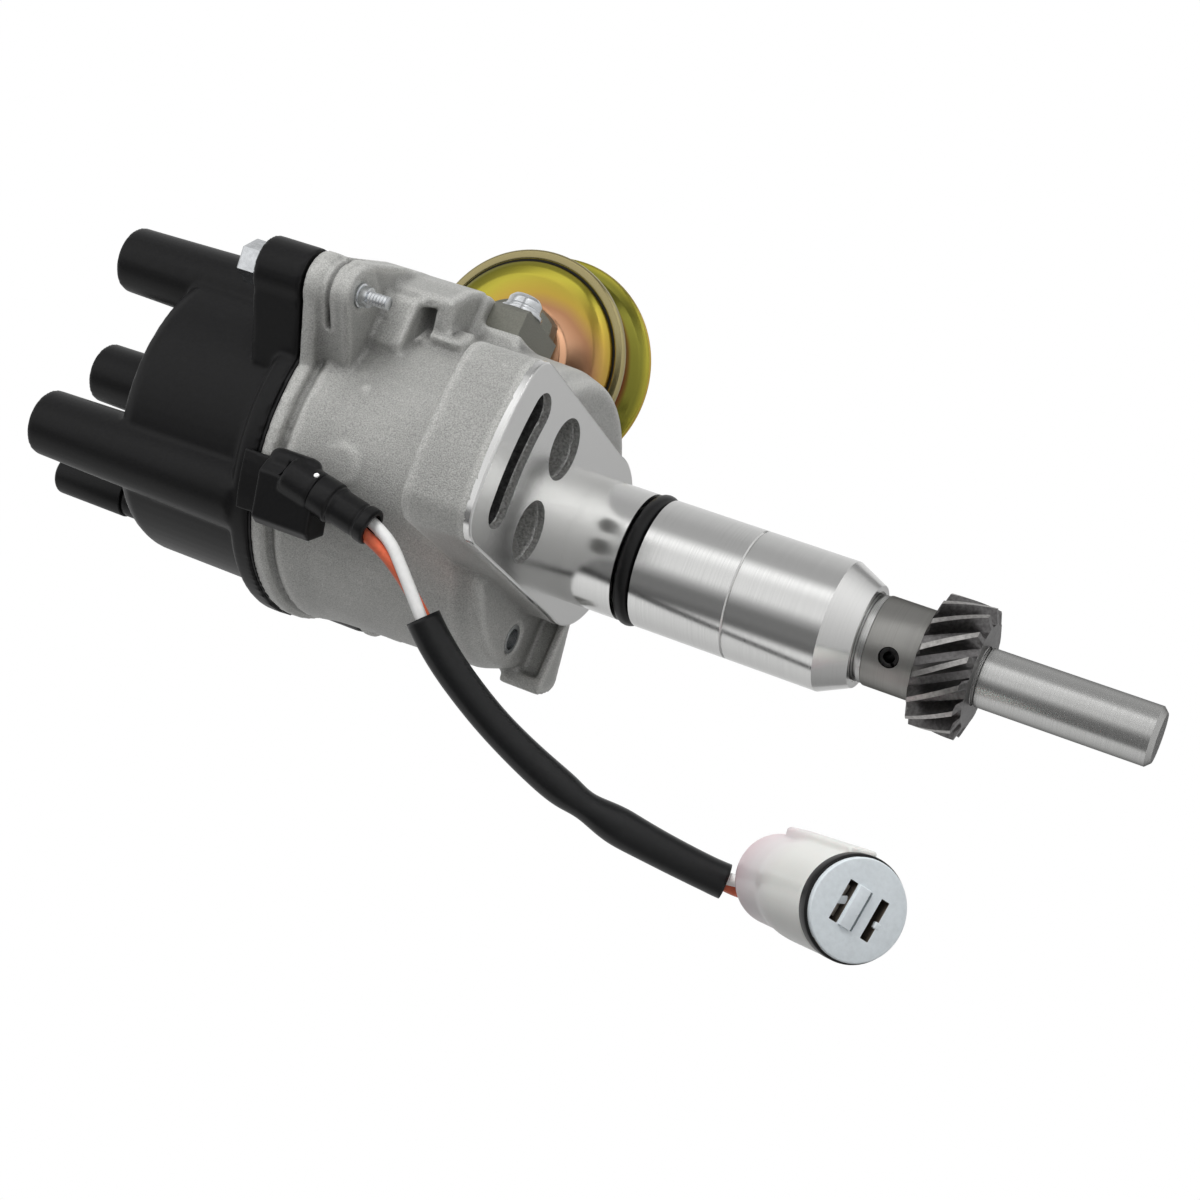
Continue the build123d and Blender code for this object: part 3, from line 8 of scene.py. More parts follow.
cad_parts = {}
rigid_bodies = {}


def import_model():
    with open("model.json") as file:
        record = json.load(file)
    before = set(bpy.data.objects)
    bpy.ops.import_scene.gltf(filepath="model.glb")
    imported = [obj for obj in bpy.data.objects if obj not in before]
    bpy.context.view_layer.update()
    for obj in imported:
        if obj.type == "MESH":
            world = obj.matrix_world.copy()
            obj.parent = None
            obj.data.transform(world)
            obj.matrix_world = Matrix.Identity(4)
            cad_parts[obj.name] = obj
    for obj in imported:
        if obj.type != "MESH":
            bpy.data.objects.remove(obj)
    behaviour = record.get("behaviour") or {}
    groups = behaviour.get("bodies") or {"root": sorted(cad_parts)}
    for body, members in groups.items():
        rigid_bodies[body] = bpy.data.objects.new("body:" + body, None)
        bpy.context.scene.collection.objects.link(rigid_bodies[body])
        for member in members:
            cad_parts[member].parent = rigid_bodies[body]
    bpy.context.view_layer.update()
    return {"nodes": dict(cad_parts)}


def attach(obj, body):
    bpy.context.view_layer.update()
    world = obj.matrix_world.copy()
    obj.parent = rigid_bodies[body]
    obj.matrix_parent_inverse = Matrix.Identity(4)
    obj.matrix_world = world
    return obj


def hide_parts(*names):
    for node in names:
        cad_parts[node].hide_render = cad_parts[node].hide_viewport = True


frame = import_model()
nodes = frame["nodes"]
sceneData = bpy.context.scene
sceneData.view_settings.view_transform = "Standard"
mm = 0.001
print("frame loaded:", len(nodes), "nodes")


def linked(name, data):
    holder = bpy.data.objects.new(name, data)
    sceneData.collection.objects.link(holder)
    return holder


def meshFrom(name, bm):
    mesh = bpy.data.meshes.new(name)
    bm.to_mesh(mesh)
    bm.free()
    return mesh


def addNode(tree, kind, sources, operation=None):
    # a shader node whose first inputs are linked to sockets or set to values
    node = tree.nodes.new("ShaderNode" + kind)
    if operation:
        node.operation = operation
    for socket, source in zip(node.inputs, sources):
        if isinstance(source, bpy.types.NodeSocket):
            tree.links.new(source, socket)
        else:
            socket.default_value = source
    return node


def addRamp(tree, source, stops):
    ramp = addNode(tree, "ValToRGB", (source,))
    elements = ramp.color_ramp.elements
    while len(elements) < len(stops):
        elements.new(0.5)
    for element, (position, color) in zip(elements, stops):
        element.position = position
        element.color = (*color, 1)
    return ramp.outputs["Color"]


def grey(value):
    return (value, value, value)


# ---- camera, world, lamps, floor
shotCamera = {
    "place": Vector((0.400065, -0.080516, -0.158663)),
    "right": Vector((-0.26716, 0.38867, -0.88179)),
    "down": Vector((-0.27743, -0.90734, -0.31588)),
    "forward": Vector((-0.92286, 0.16025, 0.35023)),
    "lens": 63.83,
}
imageUp = -shotCamera["down"].normalized()
imageRight = shotCamera["right"].normalized()
towardCamera = -shotCamera["forward"].normalized()


def addCamera(shot):
    cameraData = bpy.data.cameras.new("shotCamera")
    cameraData.lens = shot["lens"]
    cameraData.sensor_width = 36
    cameraData.clip_start = 0.01
    cameraData.clip_end = 20
    camera = linked("shotCamera", cameraData)
    turn = Matrix((imageRight, imageUp, towardCamera)).transposed().to_4x4()
    camera.matrix_world = Matrix.Translation(shot["place"]) @ turn
    sceneData.camera = camera


studio = {
    "around": [
        (-90, 0.85), (-76, 0.58), (-66, 0.6), (-47, 0.78), (-37, 0.9), (-31, 0.1), (-19, 0.2), (-8, 0.18),
        (-1, 0.4), (7, 0.92), (20, 0.85), (28, 1.35), (35, 0.45), (47, 0.46), (57, 0.58), (70, 0.68), (90, 0.85),
    ],
    "diffuseSky": 0.26,
    "aim": Vector((0, 0, 0.01)),
    # name: direction, distance, size, power
    "lamps": {
        "keyLamp": (imageUp * 1.0 + towardCamera * 0.55 - imageRight * 0.25, 0.9, 0.55, 8.4),
        "fillLamp": (towardCamera * 1.0 + imageUp * 0.2 + imageRight * 0.15, 1.1, 0.5, 1.3),
        "rimLamp": (imageUp * 0.5 - towardCamera * 0.8 + imageRight * 0.4, 0.9, 0.5, 2.0),
    },
    "floorDrop": 0.235, "floorHalf": 3, "floorColor": (0.86, 0.86, 0.86), "floorRoughness": 0.9,
}


def buildWorld(look):
    # white room behind; metal sees strips of light laid round the axis that runs across the view
    world = bpy.data.worlds.new("softStudio")
    sceneData.world = world
    world.use_nodes = True
    tree = world.node_tree
    tree.nodes.clear()
    path = tree.nodes.new("ShaderNodeLightPath").outputs
    coords = tree.nodes.new("ShaderNodeTexCoord").outputs["Generated"]
    rise, near = (
        addNode(tree, "VectorMath", (coords, axis), "DOT_PRODUCT").outputs["Value"]
        for axis in (imageUp, towardCamera)
    )
    turn = addNode(tree, "Math", (rise, near), "ARCTAN2").outputs[0]
    share = addNode(tree, "MapRange", (turn, -math.pi, math.pi)).outputs["Result"]
    strips = addRamp(tree, share, [((angle + 90) / 180, grey(light)) for angle, light in look["around"]])
    softLight = addNode(tree, "Background", ((1, 1, 1, 1), look["diffuseSky"])).outputs[0]
    mirrored = addNode(tree, "Background", (strips,)).outputs[0]
    white = addNode(tree, "Background", ((1, 1, 1, 1),)).outputs[0]
    seen = addNode(tree, "Math", (path["Is Camera Ray"], path["Is Transmission Ray"]), "MAXIMUM").outputs[0]
    lit = addNode(tree, "MixShader", (path["Is Glossy Ray"], softLight, mirrored)).outputs[0]
    room = addNode(tree, "MixShader", (seen, lit, white)).outputs[0]
    addNode(tree, "OutputWorld", (room,))


def addLamp(name, toward, distance, size, power):
    lampData = bpy.data.lights.new(name, "AREA")
    lampData.shape = "DISK"
    lampData.size = size
    lampData.energy = power
    lamp = linked(name, lampData)
    lamp.visible_glossy = False    # metal mirrors the room's strips alone
    lamp.location = studio["aim"] + toward.normalized() * distance
    lamp.rotation_euler = (studio["aim"] - lamp.location).to_track_quat("-Z", "Y").to_euler()


def startFinish(name, color, roughness, metal=0.0):
    paint = bpy.data.materials.new(name)
    paint.use_nodes = True
    shader = paint.node_tree.nodes["Principled BSDF"]
    shader.inputs["Base Color"].default_value = (*color, 1)
    shader.inputs["Roughness"].default_value = roughness
    shader.inputs["Metallic"].default_value = metal
    return paint, paint.node_tree, shader


def addFloor(look):
    bm = bmesh.new()
    bmesh.ops.create_grid(bm, x_segments=1, y_segments=1, size=look["floorHalf"])
    bmesh.ops.translate(bm, verts=bm.verts, vec=(0, 0, -look["floorDrop"]))
    floor = linked("paleFloor", meshFrom("paleFloor", bm))
    paint, tree, shader = startFinish("paleFloor", look["floorColor"], look["floorRoughness"])
    floor.data.materials.append(paint)


addCamera(shotCamera)
buildWorld(studio)
for lampName, lampLook in studio["lamps"].items():
    addLamp(lampName, *lampLook)
addFloor(studio)
print("camera and studio ready")

# ---- finishes


def objectCoords(tree, place=(0, 0, 0)):
    coords = tree.nodes.new("ShaderNodeTexCoord").outputs["Object"]
    mapping = addNode(tree, "Mapping", (coords,))
    mapping.vector_type = "TEXTURE"
    mapping.inputs["Location"].default_value = place
    return mapping.outputs["Vector"]


def addNoise(tree, vector, scale, detail=3.0):
    grain = tree.nodes.new("ShaderNodeTexNoise")
    grain.inputs["Scale"].default_value = scale
    grain.inputs["Detail"].default_value = detail
    tree.links.new(vector, grain.inputs["Vector"])
    return grain.outputs["Fac"]


def addBump(tree, shader, height, strength, distance):
    bump = tree.nodes.new("ShaderNodeBump")
    bump.inputs["Strength"].default_value = strength
    bump.inputs["Distance"].default_value = distance
    tree.links.new(height, bump.inputs["Height"])
    tree.links.new(bump.outputs["Normal"], shader.inputs["Normal"])


def shaded(color, share):
    return tuple(min(1, part * share) for part in color)


def grainyFinish(name, look):
    # sand-cast or sprayed surface: fine grain, faint clouds of tone
    paint, tree, shader = startFinish(name, look["color"], look["roughness"], look["metal"])
    shader.inputs["Specular IOR Level"].default_value = look["gloss"]
    vector = objectCoords(tree)
    fine = addNoise(tree, vector, look["grainScale"], 4)
    cloud = addNoise(tree, vector, look["cloudScale"])
    mixed = addNode(tree, "Math", (cloud, look["cloudShare"], fine), "MULTIPLY_ADD").outputs[0]
    tone = addRamp(tree, mixed, [
        (look["from"], shaded(look["color"], look["darkShare"])),
        (look["to"], shaded(look["color"], look["lightShare"])),
    ])
    if "edges" in look:
        # painted shade: roots are darker, and painted highlight: edges are lighter
        shape = tree.nodes.new("ShaderNodeAttribute")
        shape.attribute_name = "creaseShadeEdgeLight"
        creaseShadeEdgeLight = addRamp(tree, shape.outputs["Fac"], look["edges"])
        blend = tree.nodes.new("ShaderNodeMix")
        blend.data_type = "RGBA"
        blend.blend_type = "MULTIPLY"
        blend.inputs["Factor"].default_value = 1.0
        tree.links.new(tone, blend.inputs["A"])
        tree.links.new(creaseShadeEdgeLight, blend.inputs["B"])
        tone = blend.outputs["Result"]
    tree.links.new(tone, shader.inputs["Base Color"])
    addBump(tree, shader, fine, look["bump"], look["bumpDepth"])
    return paint


def turnedFinish(name, look):
    # lathe-turned surface about Z: fine rings along the axis, and face rings across it
    paint, tree, shader = startFinish(name, look["color"], look["roughness"], 1.0)
    shader.inputs["Specular Tint"].default_value = (*grey(look["edge"]), 1)
    split = addNode(tree, "SeparateXYZ", (objectCoords(tree),)).outputs
    flat = addNode(tree, "CombineXYZ", (split["X"], split["Y"])).outputs[0]
    reach = addNode(tree, "VectorMath", (flat,), "LENGTH").outputs["Value"]
    rings = addNode(tree, "CombineXYZ", (split["Z"], reach)).outputs[0]
    lines = addNoise(tree, rings, look["lineScale"], 2)
    tone = addRamp(tree, lines, [(0.3, shaded(look["color"], look["darkShare"])), (0.7, look["color"])])
    tree.links.new(tone, shader.inputs["Base Color"])
    rough = addRamp(tree, lines, [(0.3, grey(look["roughness"] * 1.25)), (0.7, grey(look["roughness"] * 0.85))])
    tree.links.new(rough, shader.inputs["Roughness"])
    addBump(tree, shader, lines, look["bump"], look["bumpDepth"])
    return paint


grainBasics = {
    "metal": 0.0, "gloss": 0.5, "grainScale": 900, "cloudScale": 120, "cloudShare": 0.5, "darkShare": 0.7,
    "lightShare": 1.3, "from": 0.4, "to": 0.9, "bump": 0.2, "bumpDepth": 0.0001,
}
plated = {"metal": 1.0, "cloudScale": 200, "lightShare": 1.1, "bump": 0.1, "bumpDepth": 0.00005}
darkSteel = {"metal": 1.0, "grainScale": 1400, "cloudShare": 0.4, "darkShare": 0.65, "from": 0.45}
grainyLooks = {
    "castAluminium": {
        "color": (0.49, 0.49, 0.472), "roughness": 0.46, "metal": 0.5, "grainScale": 3600, "cloudScale": 70,
        "cloudShare": 0.25, "from": 0.42, "to": 0.84, "bump": 0.6, "bumpDepth": 0.00018,
        # painted shade in the hollows and painted highlight on the outer edges, read from the crease attribute
        "edges": [(0.0, grey(0.8)), (0.25, grey(0.4)), (0.46, grey(0.74)), (0.5, grey(0.8)), (0.56, grey(1.0))],
    },
    # painted shade: near-black cast finish that stands for the shadow deep in the slot
    "paintedSlotShade": {
        "color": (0.03, 0.03, 0.03), "roughness": 0.6, "metal": 0.5, "grainScale": 1300, "cloudScale": 90,
        "cloudShare": 0.3, "darkShare": 0.5, "lightShare": 1.9, "from": 0.45, "to": 0.85, "bump": 0.9,
        "bumpDepth": 0.0004,
    },
    "roughAluminium": {
        "color": (0.4, 0.4, 0.39), "roughness": 0.5, "metal": 0.6, "grainScale": 1900, "cloudScale": 90,
        "cloudShare": 0.3, "lightShare": 1.4, "from": 0.45, "to": 0.85, "bump": 0.7, "bumpDepth": 0.0003,
    },
    "bracketAluminium": {
        "color": (0.22, 0.22, 0.19), "roughness": 0.42, "metal": 0.8, "grainScale": 3000, "cloudScale": 50,
        "cloudShare": 0.3, "darkShare": 0.85, "lightShare": 1.1, "from": 0.42,
    },
    "landSteel": {**darkSteel, "color": (0.4, 0.39, 0.38), "roughness": 0.34, "darkShare": 0.7},
    "gearSteel": {**darkSteel, "color": (0.17, 0.165, 0.165), "roughness": 0.36},
    "pinSteel": {**darkSteel, "color": (0.05, 0.05, 0.05), "roughness": 0.35},
    "zincSteel": {**plated, "color": (0.72, 0.74, 0.76), "roughness": 0.22, "darkShare": 0.8},
    "brass": {**plated, "color": (0.7, 0.52, 0.26), "roughness": 0.28, "darkShare": 0.85},
    "bladeMetal": {**plated, "color": (0.5, 0.47, 0.42), "roughness": 0.3, "cloudScale": 300, "lightShare": 1.2},
    "capPlastic": {
        "color": (0.0045, 0.0045, 0.0048), "roughness": 0.4, "gloss": 0.24, "grainScale": 1200, "cloudScale": 40,
        "darkShare": 0.8, "lightShare": 1.35, "to": 0.95, "bump": 0.12,
    },
    "blackRubber": {
        "color": (0.0045, 0.0045, 0.0048), "roughness": 0.36, "gloss": 0.28, "grainScale": 1500, "cloudScale": 90,
        "lightShare": 1.4, "to": 0.95, "bump": 0.25,
    },
    "sleeveRubber": {
        "color": (0.006, 0.0063, 0.0068), "roughness": 0.33, "gloss": 0.34, "grainScale": 700, "cloudScale": 60,
        "darkShare": 0.75, "to": 0.95, "bump": 0.15, "bumpDepth": 0.00015,
    },
    "whiteJacket": {
        "color": (0.86, 0.86, 0.85), "roughness": 0.38, "darkShare": 0.93, "lightShare": 1.02, "bump": 0.08,
    },
    "redJacket": {
        "color": (0.74, 0.15, 0.07), "roughness": 0.36, "darkShare": 0.85, "lightShare": 1.1, "bump": 0.08,
    },
    "plugGrey": {
        "color": (0.66, 0.71, 0.74), "roughness": 0.4, "grainScale": 1100, "cloudScale": 150, "darkShare": 0.92,
        "lightShare": 1.04, "bump": 0.1,
    },
    "slotShade": {
        "color": (0.09, 0.075, 0.06), "roughness": 0.5, "grainScale": 1100, "cloudScale": 150, "darkShare": 0.8,
        "lightShare": 1.2, "bump": 0.1,
    },
    "bronze": {
        "color": (0.5, 0.36, 0.2), "roughness": 0.4, "metal": 1.0, "grainScale": 1500, "cloudScale": 200,
        "cloudShare": 0.4, "darkShare": 0.8, "lightShare": 1.15, "bumpDepth": 0.00005,
    },
    "rotorPlastic": {
        "color": (0.16, 0.07, 0.045), "roughness": 0.45, "grainScale": 1500, "cloudScale": 100, "cloudShare": 0.4,
        "darkShare": 0.8, "lightShare": 1.2,
    },
    "carbon": {
        "color": (0.03, 0.03, 0.032), "roughness": 0.6, "grainScale": 2500, "cloudScale": 200, "cloudShare": 0.4,
        "lightShare": 1.5,
    },
}
turnedLooks = {
    "turnedAluminium": {
        "color": (0.78, 0.78, 0.77), "edge": 1.0, "roughness": 0.18, "darkShare": 0.93, "lineScale": 3400,
        "bump": 0.12, "bumpDepth": 0.00004,
    },
    "turnedSteel": {
        "color": (0.58, 0.58, 0.57), "edge": 0.3, "roughness": 0.26, "darkShare": 0.93, "lineScale": 5200,
        "bump": 0.05, "bumpDepth": 0.00002,
    },
    "hubSteel": {
        "color": (0.36, 0.355, 0.34), "edge": 0.2, "roughness": 0.36, "darkShare": 0.92, "lineScale": 4200,
        "bump": 0.05, "bumpDepth": 0.00002,
    },
}
finishes = {name: grainyFinish(name, grainBasics | look) for name, look in grainyLooks.items()}
finishes |= {name: turnedFinish(name, look) for name, look in turnedLooks.items()}


def milkyFinish(name, look):
    # translucent white moulding, faintly pink toward the wires
    paint, tree, shader = startFinish(name, look["front"], look["roughness"])
    vector = objectCoords(tree, look["rearAt"])
    along = addNode(tree, "VectorMath", (vector, Vector(look["axis"]).normalized()), "DOT_PRODUCT").outputs["Value"]
    span = addNode(tree, "MapRange", (along, 0, look["length"])).outputs[0]
    tone = addRamp(tree, span, [(0.0, look["rear"]), (0.22, look["pink"]), (0.55, look["front"])])
    tree.links.new(tone, shader.inputs["Base Color"])
    shader.inputs["Subsurface Weight"].default_value = 0.35
    shader.inputs["Subsurface Radius"].default_value = (0.004, 0.003, 0.003)
    shader.inputs["Subsurface Scale"].default_value = 1.0
    shader.inputs["Coat Weight"].default_value = 0.15
    addBump(tree, shader, addNoise(tree, vector, 500), 0.12, 0.0002)
    return paint


finishes["milkyPlug"] = milkyFinish("milkyPlug", {
    "front": (0.7, 0.7, 0.67), "pink": (0.66, 0.6, 0.61), "rear": (0.62, 0.48, 0.51), "roughness": 0.3,
    "axis": (0.7866, -0.0554, -0.6150), "rearAt": (0.0037, -0.0508, -0.0629), "length": 0.038,
})

vacuumUnit = {
    "azimuth": 165, "offset": 0.0321, "height": 0.0445, "roughness": 0.24, "span": 0.026,
    "yellow": (0.5, 0.44, 0.06), "olive": (0.22, 0.21, 0.035), "pink": (0.72, 0.4, 0.24), "rose": (0.5, 0.25, 0.13),
    "gold": (0.56, 0.38, 0.07), "band": (0.42, 0.36, 0.18), "wine": (0.16, 0.035, 0.015),
}
pullDir = Vector((math.cos(math.radians(vacuumUnit["azimuth"])), math.sin(math.radians(vacuumUnit["azimuth"])), 0))
outDir = Vector((pullDir.y, -pullDir.x, 0))
unitCentre = outDir * vacuumUnit["offset"] + Vector((0, 0, vacuumUnit["height"]))
leanDir = imageUp * 0.8 - imageRight * 0.6
passivatedLooks = {
    # lean: how far the colours shift across the dish, from its top left to its lower right
    "frontDish": {
        "swirl": 0.25, "lean": 11.0,
        "stops": [(0.0, "pink"), (0.36, "pink"), (0.46, "rose"), (0.58, "gold"), (0.74, "yellow"), (0.98, "olive")],
    },
    "waistWall": {
        "swirl": 0.05, "stops": [(0.0, "wine"), (0.815, "wine"), (0.85, "olive"), (0.93, "olive"), (1.0, "yellow")],
    },
    "rimBand": {"swirl": 0.1, "stops": [(0.0, "band"), (1.0, "band")]},
    "backDish": {
        "swirl": 0.35, "stops": [(0.0, "gold"), (0.4, "yellow"), (0.75, "olive"), (1.0, "gold")],
    },
}


def passivatedFinish(name, look):
    # yellow chromate: colour drifts with the distance from the unit's axis and with a slow swirl
    paint, tree, shader = startFinish(name, vacuumUnit["yellow"], vacuumUnit["roughness"], 1.0)
    vector = objectCoords(tree, unitCentre)
    along = addNode(tree, "VectorMath", (vector, pullDir), "CROSS_PRODUCT").outputs[0]
    reach = addNode(tree, "VectorMath", (along,), "LENGTH").outputs["Value"]
    share = addNode(tree, "MapRange", (reach, 0, vacuumUnit["span"])).outputs["Result"]
    drift = addNoise(tree, vector, 45, 2)
    mixed = addNode(tree, "Math", (drift, look["swirl"], share), "MULTIPLY_ADD").outputs[0]
    shift = addNode(tree, "Math", (mixed, look["swirl"] / 2), "SUBTRACT").outputs[0]
    across = addNode(tree, "VectorMath", (vector, leanDir), "DOT_PRODUCT").outputs["Value"]
    leaned = addNode(tree, "Math", (across, look.get("lean", 0.0), shift), "MULTIPLY_ADD").outputs[0]
    stops = [(position, vacuumUnit[color]) for position, color in look["stops"]]
    tree.links.new(addRamp(tree, leaned, stops), shader.inputs["Base Color"])
    addBump(tree, shader, addNoise(tree, vector, 1200), 0.08, 0.00005)
    return paint


finishes |= {name: passivatedFinish(name, look) for name, look in passivatedLooks.items()}
shownNodes = {
    "bronze": ("lower_bush", "upper_bush"),
    "zincSteel": (
        "ear_bush", "vacuum_rod", "vacuum_spring", "bearing_plate", "plate_screws", "pickup_plate", "governor_base",
        "governor_springs", "cam_screw", "brush_spring",
    ),
    "blackRubber": ("cap_gasket", "vacuum_membrane", "pickup_coil"),
    "brass": ("plug_terminals", "centre_terminal", "rotor_contact"),
    "gearSteel": ("pickup_bracket", "pickup_core", "governor_weight_a", "governor_weight_b", "reluctor"),
    "turnedSteel": ("drive_shaft", "thrust_washers", "cam_sleeve"),
    "milkyPlug": ("plug_wire_seal",),
    "bladeMetal": ("plug_blades",),
    "rotorPlastic": ("rotor_arm",),
    "carbon": ("carbon_brush",),
}
for finishName, nodeNames in shownNodes.items():
    for nodeName in nodeNames:
        for socket in nodes[nodeName].material_slots:
            socket.material = finishes[finishName]
print("finishes ready:", len(finishes))

# ---- shared making of pieces


def addPiece(name, bm, finish, slotName, *nodeNames, body="case", others=()):
    for face in bm.faces:
        face.smooth = True
    piece = linked(name, meshFrom(name, bm))
    for paint in (finish, *others):
        piece.data.materials.append(finishes[paint])
    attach(piece, body)
    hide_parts(*nodeNames)
    return piece


def ofKind(grown, kind):
    return [item for item in grown["geom"] if isinstance(item, kind)]


def turnOut(bm):
    bmesh.ops.recalc_face_normals(bm, faces=bm.faces)


def rounded(bm, parts, offset, bends, affect="EDGES"):
    bmesh.ops.bevel(
        bm, geom=parts, offset=offset * mm, offset_type="OFFSET", segments=bends, profile=0.5, affect=affect,
        clamp_overlap=True, material=-1,
    )


def turnTo(direction, aside=None):
    # rotation that carries Z to a direction, with X as near as can be to aside
    zAxis = Vector(direction).normalized()
    xAxis = Vector(aside or zAxis.orthogonal())
    xAxis = (xAxis - zAxis * xAxis.dot(zAxis)).normalized()
    return Matrix((xAxis, zAxis.cross(xAxis), zAxis)).transposed()


def copyOfNode(nodeName):
    # the triangles of a CAD node, merged into one surface
    bm = bmesh.new()
    bm.from_mesh(nodes[nodeName].data)
    bmesh.ops.remove_doubles(bm, verts=bm.verts, dist=0.002 * mm)
    return bm


def cutAcross(bm, height, keepAbove):
    # keep what lies above or below a height, and close the cut
    bmesh.ops.bisect_plane(
        bm, geom=bm.verts[:] + bm.edges[:] + bm.faces[:], dist=0.0001 * mm, plane_co=(0, 0, height),
        plane_no=(0, 0, 1), clear_inner=keepAbove, clear_outer=not keepAbove,
    )
    rim = [edge for edge in bm.edges if edge.is_boundary]
    bmesh.ops.triangle_fill(bm, use_beauty=True, edges=rim, normal=(0, 0, -1 if keepAbove else 1))
    turnOut(bm)


def asHolder(bm):
    return linked("rough", meshFrom("rough", bm))


def backToBmesh(holder):
    # the mesh of a holder with its modifiers applied
    graph = bpy.context.evaluated_depsgraph_get()
    done = bpy.data.meshes.new_from_object(holder.evaluated_get(graph))
    bm = bmesh.new()
    bm.from_mesh(done)
    bpy.data.batch_remove((holder, holder.data, done))
    return bm


def oneSkin(bm, voxel):
    # one closed skin round everything in the mesh, as a casting has
    holder = asHolder(bm)
    skin = holder.modifiers.new("skin", "REMESH")
    skin.mode = "VOXEL"
    skin.voxel_size = voxel
    return backToBmesh(holder)


def cutAway(bm, tool, mode="DIFFERENCE"):
    holder, cutter = asHolder(bm), asHolder(tool)
    cut = holder.modifiers.new("cut", "BOOLEAN")
    cut.operation = mode
    cut.solver = "EXACT"
    cut.object = cutter
    done = backToBmesh(holder)
    bpy.data.batch_remove((cutter, cutter.data))
    return done


def soften(bm, rounds, low, high, isFree=None):
    # rounds of smoothing on the points between two heights, in millimetres, that are free to move
    loose = [vertex for vertex in bm.verts if low * mm < vertex.co.z < high * mm]
    if isFree:
        loose = [vertex for vertex in loose if isFree(vertex.co)]
    for step in range(rounds):
        bmesh.ops.smooth_vert(bm, verts=loose, factor=0.5, use_axis_x=True, use_axis_y=True, use_axis_z=True)


def markCreaseShade(bm, rounds, gain):
    # an attribute of the points for painted shade and highlight: over one half on outer edges, under it in hollows
    layer = bm.verts.layers.float.new("creaseShadeEdgeLight")
    bm.normal_update()
    for vertex in bm.verts:
        rise = sum((edge.other_vert(vertex).co - vertex.co).dot(vertex.normal) for edge in vertex.link_edges)
        run = sum(edge.calc_length() for edge in vertex.link_edges)
        vertex[layer] = -rise / run
    for step in range(rounds):
        values = [
            sum(edge.other_vert(vertex)[layer] for edge in vertex.link_edges) / len(vertex.link_edges)
            for vertex in bm.verts
        ]
        for vertex, value in zip(bm.verts, values):
            vertex[layer] = value
    for vertex in bm.verts:
        vertex[layer] = min(1.0, max(0.02, 0.5 + gain * vertex[layer]))


def markEdges(bm, degrees):
    # crisp edges in the smooth shading
    for edge in bm.edges:
        if len(edge.link_faces) == 2:
            edge.smooth = edge.calc_face_angle() < math.radians(degrees)


def spunRing(profile, rounding=None, steps=96, bends=3):
    # a closed profile of (radius, height) points in millimetres, turned about Z; rounding bevels its corners
    bm = bmesh.new()
    corners = [bm.verts.new((radius * mm, 0, height * mm)) for radius, height in profile]
    loop = [bm.edges.new((a, b)) for a, b in zip(corners, corners[1:] + corners[:1])]
    if rounding:
        rounded(bm, corners + loop, rounding, bends, "VERTICES")
    bmesh.ops.spin(
        bm, geom=bm.verts[:] + bm.edges[:], cent=(0, 0, 0), axis=(0, 0, 1), angle=math.tau, steps=steps,
        use_merge=True,
    )
    bmesh.ops.remove_doubles(bm, verts=bm.verts, dist=0.001 * mm)
    turnOut(bm)
    return bm


def band(inner, outer, low, high):
    # the section of a plain ring
    return [(inner, low), (outer, low), (outer, high), (inner, high)]


def placed(bm, place, direction=(0, 0, 1), aside=None):
    # move a piece that was made about Z to its place, in millimetres
    turn = turnTo(direction, aside).to_4x4()
    bmesh.ops.transform(bm, matrix=Matrix.Translation(Vector(place) * mm) @ turn, verts=bm.verts)
    return bm


def block(size, place, turn=0.0, edge=0.0, bends=3):
    # a box in millimetres, turned about Z in degrees, with rounded edges
    bm = bmesh.new()
    bmesh.ops.create_cube(bm, size=1.0)
    bmesh.ops.scale(bm, verts=bm.verts, vec=Vector(size) * mm)
    if edge:
        rounded(bm, bm.edges[:], edge, bends)
    bmesh.ops.rotate(bm, verts=bm.verts, cent=(0, 0, 0), matrix=Matrix.Rotation(math.radians(turn), 3, "Z"))
    bmesh.ops.translate(bm, verts=bm.verts, vec=Vector(place) * mm)
    return bm


def joined(*parts):
    # several bmeshes as one
    whole = bmesh.new()
    for part in parts:
        mesh = meshFrom("part", part)
        whole.from_mesh(mesh)
        bpy.data.meshes.remove(mesh)
    return whole


def aroundZ(radius, degrees, height):
    return (radius * math.cos(math.radians(degrees)), radius * math.sin(math.radians(degrees)), height)


def slab(points, low, high):
    # an upright prism over a polygon, in millimetres
    bm = bmesh.new()
    floor = bm.faces.new([bm.verts.new((x * mm, y * mm, low * mm)) for x, y in points])
    top = ofKind(bmesh.ops.extrude_face_region(bm, geom=[floor]), bmesh.types.BMVert)
    bmesh.ops.translate(bm, verts=top, vec=(0, 0, (high - low) * mm))
    turnOut(bm)
    return bm


